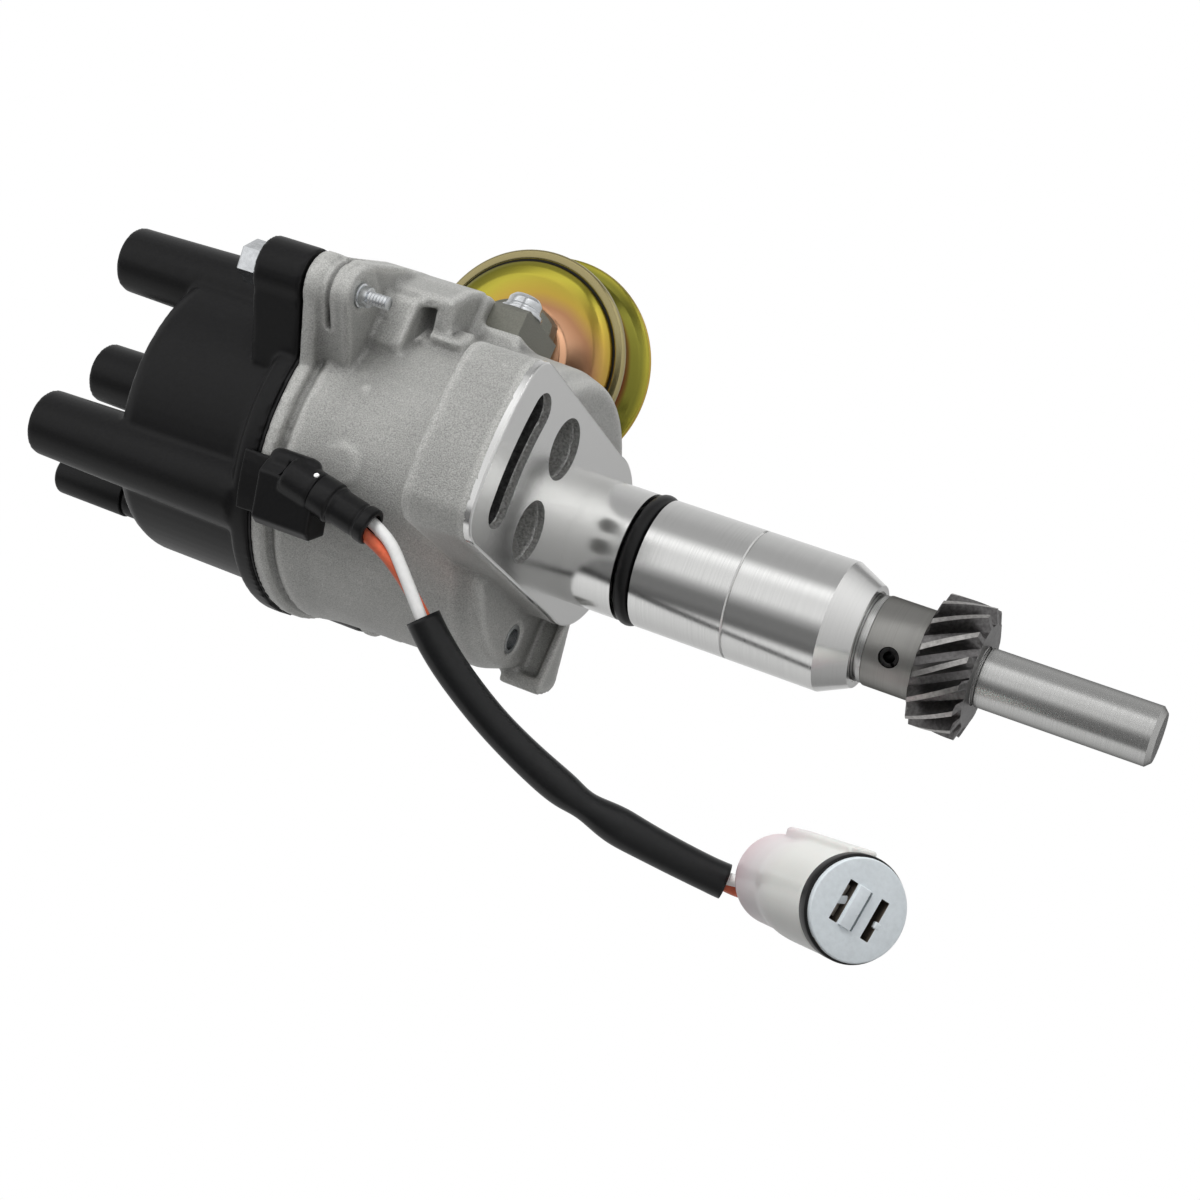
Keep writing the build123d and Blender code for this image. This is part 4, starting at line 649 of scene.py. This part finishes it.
# ---- housing: a cast body with soft edges on a machined base
housing = {
    "voxel": 0.67,
    "castFrom": 0.9,      # height at which the cast skin starts
    "machinedTo": 1.6,    # top of the crisp base, inside the skin
    # smoothing of the whole, of what lies below the rim, and of the ears: rounds, lowest and highest point
    "whole": (1, 1.9, 58.7), "root": (1, 3.0, 48.0), "ear": (1, 48.2, 56.0),
    "earFrom": 36.5, "earWedge": (15, 45),
    # smoothing rounds and strength of the painted crease shade and edge highlight
    "creaseShadeRounds": 2, "creaseShadeGain": 1.6,
    "lightDepth": 1.5,    # depth to which the walls of the slot keep the plain rough finish; deeper they get painted shade
    "darkTo": 8.0,        # height up to which the painted shade on the slot walls reaches
    "pocketRadius": 6.3, "pocketReach": 33.0, "pocketAngle": 15.4, "pocketDepth": 11.0,
    "slotReach": 49.6, "slotHalf": 3.8, "slotAngle": 16.8,
    "edge": 0.75, "edgeFrom": 15, "lap": 0.08, "lapTo": 2.4,
    "slabs": [
        ([(14, 26), (18, 38.6), (24, 35.8), (29.5, 31), (26, 24)], 36, 54),
        ([(18, 38.6), (27.2, 35.7), (43, 29.2), (40.5, 23.4), (28, 22)], 50, 56),
    ],
    "disc": [(0.01, 0), (1.1, 0), (0.8, 1.5), (0.01, 1.5)],
    "discAt": (32.2, 7.05, 44.3), "discDir": (0.977, 0.214, 0),
    "gaps": [((6.0, 11.0, 3.0), aroundZ(37.4, 46.5, 40.9), 46.5), ((12.0, 19.0, 1.9), (40.5, 18.1, 48.4), 30)],
    "undercut": band(4.6, 8.5, 53.6, 54.7), "earReach": 46.8, "earAngles": (30, 210),
}


def inSlot(place, spare=0.0):
    angle = abs(math.degrees(math.atan2(place.y, place.x)))
    reach = place.xy.length / mm
    return abs(reach - housing["slotReach"]) < housing["slotHalf"] + spare and angle < housing["slotAngle"]


def isEar(place):
    # below the lobe of a screw ear
    angle = math.degrees(math.atan2(place.y, place.x)) % 180
    low, high = housing["earWedge"]
    return low < angle < high and place.xy.length > housing["earFrom"] * mm


def inPocket(place, spare=0.0):
    for side in (-1, 1):
        x, y, z = aroundZ(housing["pocketReach"], side * housing["pocketAngle"], 0)
        if math.hypot(place.x / mm - x, place.y / mm - y) < housing["pocketRadius"] + spare:
            return place.z / mm < housing["pocketDepth"] + spare
    return False


def isSolid(place):
    return not inSlot(place, 1) and not inPocket(place, 1)


castRaw = copyOfNode("housing")
cutAcross(castRaw, housing["castFrom"] * mm, True)
disc = placed(spunRing(housing["disc"], steps=24), housing["discAt"], housing["discDir"])
casting = oneSkin(joined(castRaw, *(slab(*shape) for shape in housing["slabs"]), disc), housing["voxel"] * mm)
for gap in housing["gaps"]:
    casting = cutAway(casting, block(*gap))
for angle in housing["earAngles"]:
    undercut = spunRing(housing["undercut"], steps=64)
    casting = cutAway(casting, placed(undercut, aroundZ(housing["earReach"], angle, 0)))
for zone, isFree in (("whole", None), ("root", isSolid), ("ear", isEar)):
    soften(casting, *housing[zone], isFree)
for vertex in casting.verts:
    if vertex.co.z < housing["lapTo"] * mm and abs(vertex.normal.z) < 0.5:
        vertex.co += vertex.normal * housing["lap"] * mm    # the skin laps over the base
# painted shade in the hollows and painted highlight on the edges of the casting
markCreaseShade(casting, housing["creaseShadeRounds"], housing["creaseShadeGain"])
castBody = addPiece(
    "castBody", casting, "castAluminium", "cast_aluminium", "housing", others=("roughAluminium", "paintedSlotShade"),
)
# painted shade: slot walls deeper than lightDepth get the near-black finish, the near walls and the pockets the
# rough one
for face in castBody.data.polygons:
    if inSlot(face.center, 0.4) and face.center.z < housing["darkTo"] * mm:
        face.material_index = 1 if face.center.z < housing["lightDepth"] * mm else 2
    elif inPocket(face.center, 0.5):
        face.material_index = 1

base = copyOfNode("housing")
cutAcross(base, housing["machinedTo"] * mm, False)
bmesh.ops.dissolve_limit(base, angle_limit=math.radians(0.4), verts=base.verts[:], edges=base.edges[:])
outline = []
for edge in base.edges:
    low = all(abs(vertex.co.z) < 0.001 * mm for vertex in edge.verts)
    middle = (edge.verts[0].co + edge.verts[1].co) / 2
    steep = len(edge.link_faces) == 2 and edge.calc_face_angle() > 0.8
    outside = middle.xy.length > housing["edgeFrom"] * mm and not inSlot(middle, 0.5) and not inPocket(middle, 0.5)
    if low and steep and outside:
        outline.append(edge)
rounded(base, outline, housing["edge"], 2)
markEdges(base, 13)
machinedBase = addPiece(
    "machinedBase", base, "turnedAluminium", "cast_aluminium", "housing", others=("roughAluminium",),
)
for face in machinedBase.data.polygons:
    inHole = inSlot(face.center, 0.2) or inPocket(face.center, 0.2)
    if face.center.z > 1.5 * mm or inHole and face.center.z > 0.05 * mm:
        face.material_index = 1
print("housing ready:", len(castBody.data.polygons), "cast faces")

oRingLook = {"reach": 12.25, "thick": 1.75, "height": -13.3, "step": 18}
ringSection = [aroundZ(oRingLook["thick"], turn, 0) for turn in range(0, 360, oRingLook["step"])]
ringSection = [(oRingLook["reach"] + across, up) for across, up, flat in ringSection]
oRing = placed(spunRing(ringSection), (0, 0, oRingLook["height"]))
addPiece("oRing", oRing, "blackRubber", "black_rubber", "o_ring")

# ---- cap: the moulding with soft edges
cap = {
    "voxel": 0.64, "rounds": 1, "softFrom": 61.0, "top": 200.0, "sleeveReach": 29.0, "sleeveAngle": 229.5,
    "sleeve": [(2.6, 117.0), (4.9, 117.0), (4.8, 135.3), (4.2, 136.0), (2.6, 136.0)],
}
capMould = oneSkin(copyOfNode("distributor_cap"), cap["voxel"] * mm)
soften(capMould, cap["rounds"], cap["softFrom"], cap["top"])
capShell = addPiece("capShell", capMould, "capPlastic", "cap_plastic", "distributor_cap")
sleeve = placed(spunRing(cap["sleeve"], 0.25, 48), aroundZ(cap["sleeveReach"], cap["sleeveAngle"], 0))
addPiece("towerSleeve", sleeve, "capPlastic", "cap_plastic", "tower_sleeve")
print("cap ready:", len(capShell.data.polygons), "faces")

# ---- cap screws: hex heads, washers and the threaded ends below the ears
capScrew = {
    "reach": 46.8, "angles": (30.0, 210.0), "washerTop": 72.4, "headTop": 76.6, "across": 4.6,
    "shank": 2.45, "shankTo": 49.4, "collar": 2.1,
    "threadFrom": 47.6, "tip": 43.2, "thread": 1.4, "cut": 0.3, "pitch": 0.7,
    "washer": [(2.55, 71.2), (5.2, 71.2), (5.2, 71.85), (4.5, 71.95), (4.5, 72.4), (2.55, 72.4)],
}


def hexHead(size, low, high):
    bm = slab([aroundZ(size, 30 + 60 * corner, 0)[:2] for corner in range(6)], low, high)
    lid = max(bm.faces, key=lambda face: face.calc_center_median().z)
    rounded(bm, list(lid.edges), 0.45, 2)
    lid = max(bm.faces, key=lambda face: face.calc_center_median().z)
    bmesh.ops.inset_individual(bm, faces=[lid], thickness=0.7 * mm, depth=-0.5 * mm)
    turnOut(bm)
    return bm


def threadProfile(look):
    # half section of the plain shank with thread grooves at its lower end
    points = [
        (0.01, look["washerTop"]), (look["shank"], look["washerTop"]), (look["shank"], look["shankTo"]),
        (look["collar"], look["shankTo"] - 0.1), (look["collar"], look["threadFrom"]),
    ]
    height = look["threadFrom"] - 0.1
    while height > look["tip"] + look["pitch"]:
        points += [(look["thread"], height), (look["thread"] - look["cut"], height - look["pitch"] / 2)]
        height -= look["pitch"]
    points += [(look["thread"], height), (look["thread"] - 0.5, look["tip"]), (0.01, look["tip"])]
    return points


for angle, mark in zip(capScrew["angles"], "AB"):
    place = aroundZ(capScrew["reach"], angle, 0)
    screw = joined(
        hexHead(capScrew["across"], capScrew["washerTop"], capScrew["headTop"]),
        spunRing(threadProfile(capScrew), steps=40),
    )
    markEdges(screw, 24)
    addPiece("capScrew" + mark, placed(screw, place), "zincSteel", "zinc_steel", "cap_screws")
    washer = placed(spunRing(capScrew["washer"], 0.12, 56), place)
    addPiece("capWasher" + mark, washer, "zincSteel", "zinc_steel", "cap_screw_washers")
print("cap screws ready")

# ---- vacuum unit: dish, crimped rim, waist and back
unitShapes = {
    "frontDish": [
        (2.85, 32.4), (11.2, 32.4), (12.4, 33.3), (13.6, 33.5), (18.6, 34.5), (20.8, 35.4), (21.8, 36.3),
        (22.2, 38.2), (21.3, 38.4), (20.2, 36.7), (17.8, 35.4), (12.2, 34.5), (11.0, 33.5), (2.85, 33.5),
    ],
    "crimpRim": [
        (22.4, 38.3), (22.45, 37.5), (22.8, 37.35), (24.3, 37.35), (24.75, 37.8), (24.75, 38.9),
        (24.4, 39.5), (22.4, 39.6), (21.1, 41.2), (20.9, 43.5), (20.9, 47.0), (21.6, 49.2), (23.4, 50.9),
        (24.8, 51.5), (25.45, 51.8), (25.6, 52.3), (25.3, 52.6), (21.7, 52.6), (19.95, 50.0), (19.95, 40.6),
        (21.2, 38.4),
    ],
    "backDish": [
        (25.6, 52.65), (25.65, 53.3), (25.2, 53.8), (23.6, 53.9), (22.6, 54.6), (21.2, 56.5), (14.0, 59.2),
        (3.05, 60.2), (1.7, 60.2), (1.7, 59.1), (13.6, 58.1), (20.3, 55.6), (21.8, 52.65),
    ],
    "bandTo": 39.6,
    # a thin black ring in the crimp groove: painted shade of the groove, partly the clamped edge of the diaphragm
    "crimpShadeRing": band(21.9, 22.5, 37.5, 38.4),
    "hoseNipple": [
        (1.7, 60.2), (3.0, 60.2), (3.0, 71.4), (3.45, 72.2), (3.45, 72.9), (3.0, 74.6), (2.6, 75.1), (1.7, 75.1),
    ],
}


def unitPiece(name, rounding, steps, finish, slotName, nodeName, others=()):
    # a turned piece on the axis of the vacuum unit
    shell = placed(spunRing(unitShapes[name], rounding, steps), unitCentre / mm, pullDir)
    return addPiece(name, shell, finish, slotName, nodeName, others=others)


unitPiece("frontDish", 0.35, 120, "frontDish", "yellow_zinc", "vacuum_can_front")
crimpRim = unitPiece("crimpRim", 0.35, 120, "waistWall", "red_zinc", "vacuum_can_middle", ("rimBand",))
for face in crimpRim.data.polygons:
    if (face.center - unitCentre).dot(pullDir) < unitShapes["bandTo"] * mm:
        face.material_index = 1
unitPiece("backDish", 0.35, 120, "backDish", "yellow_zinc", "vacuum_can_back")
# black ring that paints the shade in the crimp groove; partly the diaphragm's clamped edge
unitPiece("crimpShadeRing", 0.1, 96, "capPlastic", "black_rubber", "vacuum_can_middle")
bracketLook = {
    "cut": {"size": (30, 30, 12), "place": (-19, 42, 30)},
    "arm": {"size": (24, 5, 6), "place": (-12.2, 30.6, 41.0), "edge": 0.5},
}
bracket = cutAway(copyOfNode("vacuum_bracket"), block(**bracketLook["cut"]))
bracket = joined(bracket, block(**bracketLook["arm"]))
markEdges(bracket, 20)
addPiece("armBracket", bracket, "bracketAluminium", "cast_aluminium", "vacuum_bracket")
unitPiece("hoseNipple", 0.2, 40, "backDish", "yellow_zinc", "vacuum_nipple")

clampScrew = {
    "place": (9.6, 38.6, 31.0), "out": (0, 1, 0), "turn": 0.5,
    "head": [(0.01, 1.6), (3.7, 1.6), (3.75, 3.0), (2.9, 4.0), (1.4, 4.25), (0.01, 4.25)],
    "cross": ((4.2, 0.95, 2.4), (0.95, 4.2, 2.4)), "crossAt": (0, 0, 4.3),
    "flatWasher": band(2.1, 4.6, 0.0, 0.8), "springWasher": band(2.1, 3.9, 0.85, 1.55),
}
head = spunRing(clampScrew["head"], 0.2, 48)
cross = joined(*(block(arm, clampScrew["crossAt"]) for arm in clampScrew["cross"]))
head = cutAway(head, oneSkin(cross, 0.12 * mm))
markEdges(head, 28)
bmesh.ops.rotate(head, verts=head.verts, cent=(0, 0, 0), matrix=Matrix.Rotation(clampScrew["turn"], 3, "Z"))
washers = joined(spunRing(clampScrew["flatWasher"], 0.15, 56), spunRing(clampScrew["springWasher"], 0.12, 56))
head, washers = (placed(piece, clampScrew["place"], clampScrew["out"]) for piece in (head, washers))
addPiece("clampScrew", head, "zincSteel", "zinc_steel", "bracket_screw")
addPiece("clampWashers", washers, "zincSteel", "zinc_steel", "bracket_screw")
print("vacuum unit ready")

# ---- drive gear: slanted teeth on a plain hub
gear = {
    "teeth": 15, "tip": 13.4, "root": 10.4, "low": -84.8, "top": -73.8, "hubTop": -63.4, "hub": 9.25, "bore": 6.03,
    "twist": -31.5, "chamfer": 0.9, "layers": 14,
    "shape": ((-0.30, 0.0), (-0.21, 0.5), (-0.11, 1.0), (0.11, 1.0), (0.21, 0.5), (0.30, 0.0)),
}


def gearLimit(height):
    inside = min(height - gear["low"], gear["top"] - height)
    full = gear["tip"] - gear["root"] - 0.2
    return gear["root"] + 0.2 + full * min(1.0, max(0.0, inside / gear["chamfer"]))


def gearLayer(ring, height):
    # set the points of a ring of teeth at one height
    turned = math.radians(gear["twist"]) * (height - gear["low"]) / (gear["top"] - gear["low"])
    for index, vertex in enumerate(ring):
        share, depth = gear["shape"][index % len(gear["shape"])]
        angle = math.tau * (index // len(gear["shape"]) + share) / gear["teeth"] + turned
        reach = gear["root"] + (gear["tip"] - gear["root"]) * depth
        reach = min(reach, gearLimit(height)) * mm
        vertex.co = (reach * math.cos(angle), reach * math.sin(angle), height * mm)


gearMesh = bmesh.new()
ring = bmesh.ops.create_circle(gearMesh, segments=gear["teeth"] * len(gear["shape"]), radius=1.0)["verts"]
firstEdges = edges = gearMesh.edges[:]
straight = gear["top"] - gear["low"] - 2 * gear["chamfer"]
heights = [gear["low"] + gear["chamfer"] + straight * step / gear["layers"] for step in range(gear["layers"] + 1)]
gearLayer(ring, gear["low"])
for height in heights + [gear["top"]]:
    grown = bmesh.ops.extrude_edge_only(gearMesh, edges=edges)
    ring, edges = ofKind(grown, bmesh.types.BMVert), ofKind(grown, bmesh.types.BMEdge)
    gearLayer(ring, height)
bmesh.ops.contextual_create(gearMesh, geom=firstEdges)
bmesh.ops.contextual_create(gearMesh, geom=edges)
turnOut(gearMesh)
boreTool = spunRing(band(0.01, gear["bore"], gear["low"] - 2, gear["top"] + 2), steps=72)
gearMesh = cutAway(gearMesh, boreTool)
hub = spunRing(band(gear["bore"], gear["hub"], gear["top"] - 0.2, gear["hubTop"]), 0.35, 96)
markEdges(gearMesh, 22)
gearTeeth = addPiece(
    "gearTeeth", gearMesh, "gearSteel", "gear_steel", "drive_gear", body="shaft", others=("landSteel",),
)
for face in gearTeeth.data.polygons:
    corners = [gearTeeth.data.vertices[index].co.xy.length for index in face.vertices]
    if min(corners) > (gear["tip"] - 0.25) * mm and abs(face.normal.z) < 0.5:
        face.material_index = 1
pin = {"height": -68.6, "angle": -27.0, "drill": 2.1, "bore": 1.15, "radius": 1.95, "half": 8.9}
pinDir = Vector(aroundZ(1, pin["angle"], 0))
drill = spunRing(band(0.01, pin["drill"], -12, 12), steps=48)
hub = cutAway(hub, placed(drill, (0, 0, pin["height"]), pinDir))
markEdges(hub, 26)
addPiece("gearHub", hub, "hubSteel", "gear_steel", "drive_gear", body="shaft")
rollPin = spunRing(band(pin["bore"], pin["radius"], -pin["half"], pin["half"]), 0.2, 48)
rollPin = cutAway(rollPin, block((3.0, 0.6, 20), (-2.0, 0, 0)))
markEdges(rollPin, 26)
rollPin = placed(rollPin, (0, 0, pin["height"]), pinDir)
addPiece("rollPin", rollPin, "pinSteel", "gear_steel", "spring_pin", body="shaft")
print("gear ready")

# ---- the lead: two wires and the sleeve round them
lead = {
    "route": [
        (36.6, -17.3, 37.2), (35.3, -19.4, 27.2), (31.6, -26.2, 19.0), (26.6, -35.6, 10.0), (20.6, -43.0, -1.2),
        (15.6, -47.6, -11.0), (11.0, -51.2, -21.2), (6.4, -53.0, -31.5), (0.0, -54.2, -44.6), (-5.0, -54.6, -55.6),
        (-3.6, -52.4, -59.2), (0.877, -50.595, -60.716), (5.282, -50.906, -64.160),
    ],
    "apart": 1.36,
    "wireRadius": 1.25,
    "sleeveRadius": 3.5,
    "sleeveWall": 0.6,
    "sleeveEnds": ((29.1, -30.9, 14.5), (-3.6, -54.5, -52.5)),
    # share of the sleeve's length, share of its radius
    "sleeveSwell": [
        (0.0, 1.0), (0.05, 1.0), (0.3, 0.97), (0.55, 1.03), (0.62, 0.94), (0.72, 1.05), (0.95, 1.0), (1.0, 1.02),
    ],
}
besideDir = Vector((-0.92286, 0.16025, 0.35023))
aboveDir = Vector((0.1612, 0.9799, 0.1179))
atBoot = (-imageRight * 0.75 - imageUp * 0.6) * 1.15
crossing = (besideDir * 1.1 - imageUp * 0.3) * 1.02
wireSide = [atBoot] * 2 + [crossing] + [besideDir + imageRight * 0.45] + [besideDir] * 5
wireSide += [(besideDir - aboveDir) * 0.8] + [-aboveDir * 1.15] * 3


def wireRoute(amount):
    return [(Vector(point) + side * amount) * mm for point, side in zip(lead["route"], wireSide)]


def routeCurve(name, points, perRun=12):
    # a smooth curve along a route
    curve = bpy.data.curves.new(name, "CURVE")
    curve.dimensions = "3D"
    curve.resolution_u = perRun
    spline = curve.splines.new("NURBS")
    spline.points.add(len(points) - 1)
    for point, place in zip(spline.points, points):
        point.co = (*place, 1)
    spline.order_u = 3
    spline.use_endpoint_u = True
    return linked(name, curve)


def wireCurve(name, points, finish):
    wire = routeCurve(name, points)
    wire.data.bevel_depth = lead["wireRadius"] * mm
    wire.data.bevel_resolution = 6
    wire.data.use_fill_caps = True
    wire.data.materials.append(finishes[finish])
    return wire


def routeLength(points):
    return sum((b - a).length for a, b in zip(points, points[1:]))


whiteRoute = wireRoute(-lead["apart"])
redRoute = wireRoute(lead["apart"])
whiteWire = wireCurve("whiteWire", whiteRoute, "whiteJacket")
redWire = wireCurve("redWire", redRoute, "redJacket")


def curveLine(points, perRun=12):
    # the points of the smooth curve along a route
    holder = routeCurve("routeLine", points, perRun)
    bpy.context.view_layer.update()
    lineMesh = bpy.data.meshes.new_from_object(holder)
    line = [vertex.co.copy() for vertex in lineMesh.vertices]
    bpy.data.batch_remove((holder, holder.data, lineMesh))
    return line


def sweepTube(line, radii, aside, segments, squeeze):
    # an open tube drawn along a line; radii holds (share of length, radius)
    bm = bmesh.new()
    ring = bmesh.ops.create_circle(bm, segments=segments, radius=1.0)["verts"]
    rest, edges = [vertex.co.copy() for vertex in ring], bm.edges[:]
    total, walked = routeLength(line), 0.0
    for index, place in enumerate(line):
        ahead = line[min(index + 1, len(line) - 1)] - line[max(index - 1, 0)]
        if index:
            walked += (place - line[index - 1]).length
            grown = bmesh.ops.extrude_edge_only(bm, edges=edges)
            ring, edges = ofKind(grown, bmesh.types.BMVert), ofKind(grown, bmesh.types.BMEdge)
        share = walked / total
        radius = radii[-1][1]
        for (s0, r0), (s1, r1) in zip(radii, radii[1:]):
            if s0 <= share <= s1:
                ease = (share - s0) / (s1 - s0)
                ease = ease * ease * (3 - 2 * ease)
                radius = r0 + (r1 - r0) * ease
                break
        turn = turnTo(ahead, aside).to_4x4() @ Matrix.Diagonal((1.0, squeeze(share), 1.0, 1.0))
        for vertex, start in zip(ring, rest):
            vertex.co = Matrix.Translation(place) @ turn @ (start * radius)
    turnOut(bm)
    return bm


centreLine = curveLine([Vector(point) * mm for point in lead["route"]], 16)
sleeveFrom, sleeveTo = (
    min(range(len(centreLine)), key=lambda index: (centreLine[index] - Vector(end) * mm).length)
    for end in lead["sleeveEnds"]
)


def sleeveSqueeze(share):
    dent = math.exp(-(((share - 0.6) / 0.05) ** 2))
    return 1.0 - 0.13 * dent + 0.05 * math.exp(-(((share - 0.7) / 0.07) ** 2))


sleeveRadii = [(share, lead["sleeveRadius"] * mm * swell) for share, swell in lead["sleeveSwell"]]
sleeveMesh = sweepTube(centreLine[sleeveFrom:sleeveTo + 1], sleeveRadii, besideDir, 32, sleeveSqueeze)
leadSleeve = addPiece("leadSleeve", sleeveMesh, "sleeveRubber", "black_sleeve", "lead_sleeve")
wall = leadSleeve.modifiers.new("wall", "SOLIDIFY")
wall.thickness = lead["sleeveWall"] * mm
wall.offset = -1

# ---- grommet and boot of the lead
grommet = {
    "voxel": 0.28, "rounds": 4, "softTo": 58.9, "keep": 4.7,
    "wing": {"size": (4.2, 10.0, 11.5), "place": (37.2, -15.2, 48.6), "turn": -18.0, "edge": 2.0},
    "block": [(36.9, -9.5), (36.9, 9.5), (42.0, 9.5), (44.0, 6.5), (44.0, -6.0), (42.4, -8.6)],
    "middle": -28.6, "low": 41.2, "high": 54.2,
    "skirtRoom": band(38.2, 60, 54.2, 70), "capRoom": band(20, 36.8, 59.55, 66.0),
    "collar": band(0.01, 4.2, -3.0, 4.0), "hole": band(0.01, 2.95, -3.9, 4.6),
    "bootTop": Vector((37.7, -15.6, 45.8)), "bootEnd": Vector((35.5, -19.0, 29.0)),
    "boot": [
        (2.75, 4.1), (4.2, 4.1), (4.25, 7.9), (4.05, 8.2), (3.85, 8.3), (3.85, 8.6), (3.95, 8.8), (3.65, 9.6),
        (3.6, 14.2), (3.45, 14.5), (3.5, 14.9), (3.8, 15.2), (3.85, 17.0), (3.5, 17.4), (2.75, 17.4),
    ],
    "mark": [(0.01, 0), (0.62, 0), (0.5, 0.3), (0.01, 0.36)], "markAt": (40.66, -13.9, 41.9),
    "markDir": (0.9, 0.42, 0.1),
}
bootDir = (grommet["bootEnd"] - grommet["bootTop"]).normalized()
blockShape = [aroundZ(reach, grommet["middle"] + angle, 0)[:2] for reach, angle in grommet["block"]]
rubberBlock = joined(
    cutAway(copyOfNode("grommet"), spunRing(grommet["skirtRoom"])),
    slab(blockShape, grommet["low"], grommet["high"]),
    block(**grommet["wing"]),
    placed(spunRing(grommet["collar"], 0.5, 48), grommet["bootTop"], bootDir),
)
rubberBlock = oneSkin(rubberBlock, grommet["voxel"] * mm)
bootHole = placed(spunRing(grommet["hole"], steps=48), grommet["bootTop"], bootDir)
rubberBlock = cutAway(cutAway(rubberBlock, bootHole), spunRing(grommet["capRoom"], steps=128))


def isOffBoot(place):
    return (place - grommet["bootTop"] * mm).length > grommet["keep"] * mm


soften(rubberBlock, grommet["rounds"], 0.0, grommet["softTo"], isOffBoot)
addPiece("grommetBlock", rubberBlock, "blackRubber", "black_rubber", "grommet")
boot = placed(spunRing(grommet["boot"], 0.12, 56), grommet["bootTop"], bootDir)
addPiece("leadBoot", boot, "blackRubber", "black_rubber", "lead_boot")
dot = placed(spunRing(grommet["mark"], steps=20), grommet["markAt"], grommet["markDir"])
addPiece("bootMark", dot, "whiteJacket", "white_jacket")
print("grommet ready")

# ---- plug: milky shell with a rib and a flare, grey face with slots
plug = {
    "axis": Vector((0.7866, -0.0554, -0.6150)).normalized(), "key": aboveDir, "length": 38.0,
    "face": Vector((33.6, -52.9, -86.3)), "slotTurn": -18.5, "voxel": 0.3, "rounds": 5, "softTo": 34.0,
    "shell": [
        (0.01, 0.0), (7.6, 0.0), (8.7, 1.4), (8.8, 12.0), (9.35, 15.5), (9.5, 18.0), (9.6, 33.9), (0.01, 33.9),
    ],
    "rib": {"size": (3.0, 5.6, 28.3), "place": (8.95, 0, 20.5), "edge": 0.6},
    "room": band(0.01, 7.3, 6.0, 40.0), "wireRoom": band(0.01, 4.5, -1.0, 6.6),
    "seal": [(7.3, 34.0), (9.7, 34.0), (9.75, 36.7), (9.25, 36.9), (7.3, 36.9)],
    "disc": [(0.01, 36.2), (9.2, 36.2), (9.3, 37.7), (9.1, 38.0), (0.01, 38.0)],
    "core": band(0.01, 7.2, 12.0, 36.3), "slotAt": (3.5, -3.5), "slotSize": (7.8, 1.7, 24), "slotMiddle": 28,
    "slit": {"size": (7.6, 0.6, 3), "place": (0, -0.4, 38.0), "edge": 0.05, "bends": 1},
    "bar": {"size": (7.9, 2.5, 1.4), "place": (0, 1.15, 37.85), "edge": 0.2},
    "bridge": {"size": (1.5, 2.0, 1.0), "place": (0.1, 3.5, 36.8), "turn": 24, "edge": 0.15},
    "stud": {"size": (1.3, 1.2, 1.2), "place": (-0.6, -4.45, 37.5), "edge": 0.3},
}
plugStart = plug["face"] - plug["axis"] * plug["length"]
outerShell = joined(spunRing(plug["shell"], 0.9, 96, 4), block(**plug["rib"]))
outerShell = oneSkin(outerShell, plug["voxel"] * mm)
soften(outerShell, plug["rounds"], -5.0, plug["softTo"])
plugRoom = joined(spunRing(plug["room"], steps=72), spunRing(plug["wireRoom"], steps=48))
outerShell = cutAway(outerShell, oneSkin(plugRoom, 0.25 * mm))
outerShell = placed(outerShell, plugStart, plug["axis"], plug["key"])
plugShell = addPiece("plugShell", outerShell, "milkyPlug", "plug_white", "plug_body")
sealRing = placed(spunRing(plug["seal"], 0.3), plugStart, plug["axis"], plug["key"])
sealRing = addPiece("plugSealRing", sealRing, "blackRubber", "black_rubber", "plug_seal")

slotDir = Matrix.Rotation(math.radians(plug["slotTurn"]), 3, plug["axis"]) @ plug["key"]
faceDisc = cutAway(spunRing(plug["disc"], 0.12, 120), spunRing(plug["core"], steps=72), "UNION")
for across in plug["slotAt"]:
    faceDisc = cutAway(faceDisc, block(plug["slotSize"], (0, across, plug["slotMiddle"]), 0, 0.1, 1))
faceDisc = cutAway(faceDisc, block(**plug["slit"]))
faceDisc = joined(faceDisc, block(**plug["bar"]), block(**plug["bridge"]), block(**plug["stud"]))
markEdges(faceDisc, 25)
faceDisc = placed(faceDisc, plugStart, plug["axis"], slotDir)
plugFace = addPiece("plugFace", faceDisc, "plugGrey", "plug_grey", "plug_face", others=("slotShade",))
for face in plugFace.data.polygons:
    depth = (plug["face"] * mm - face.center).dot(plug["axis"]) / mm
    sideways = abs((face.center - plug["face"] * mm).dot(plug["axis"].cross(slotDir))) / mm
    if 0.5 < depth and 2.3 < sideways < 4.7 and abs(face.normal.dot(plug["axis"])) < 0.5:
        face.material_index = 1
print("plug ready")

for wire, route, nodeName, slotName in (
    (whiteWire, whiteRoute, "white_wire", "white_jacket"),
    (redWire, redRoute, "red_wire", "red_jacket"),
):
    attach(wire, "case")
    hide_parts(nodeName)
    length = routeLength(curveLine(route))
    print("wire", nodeName, "length", round(length, 4))
print("lead ready")
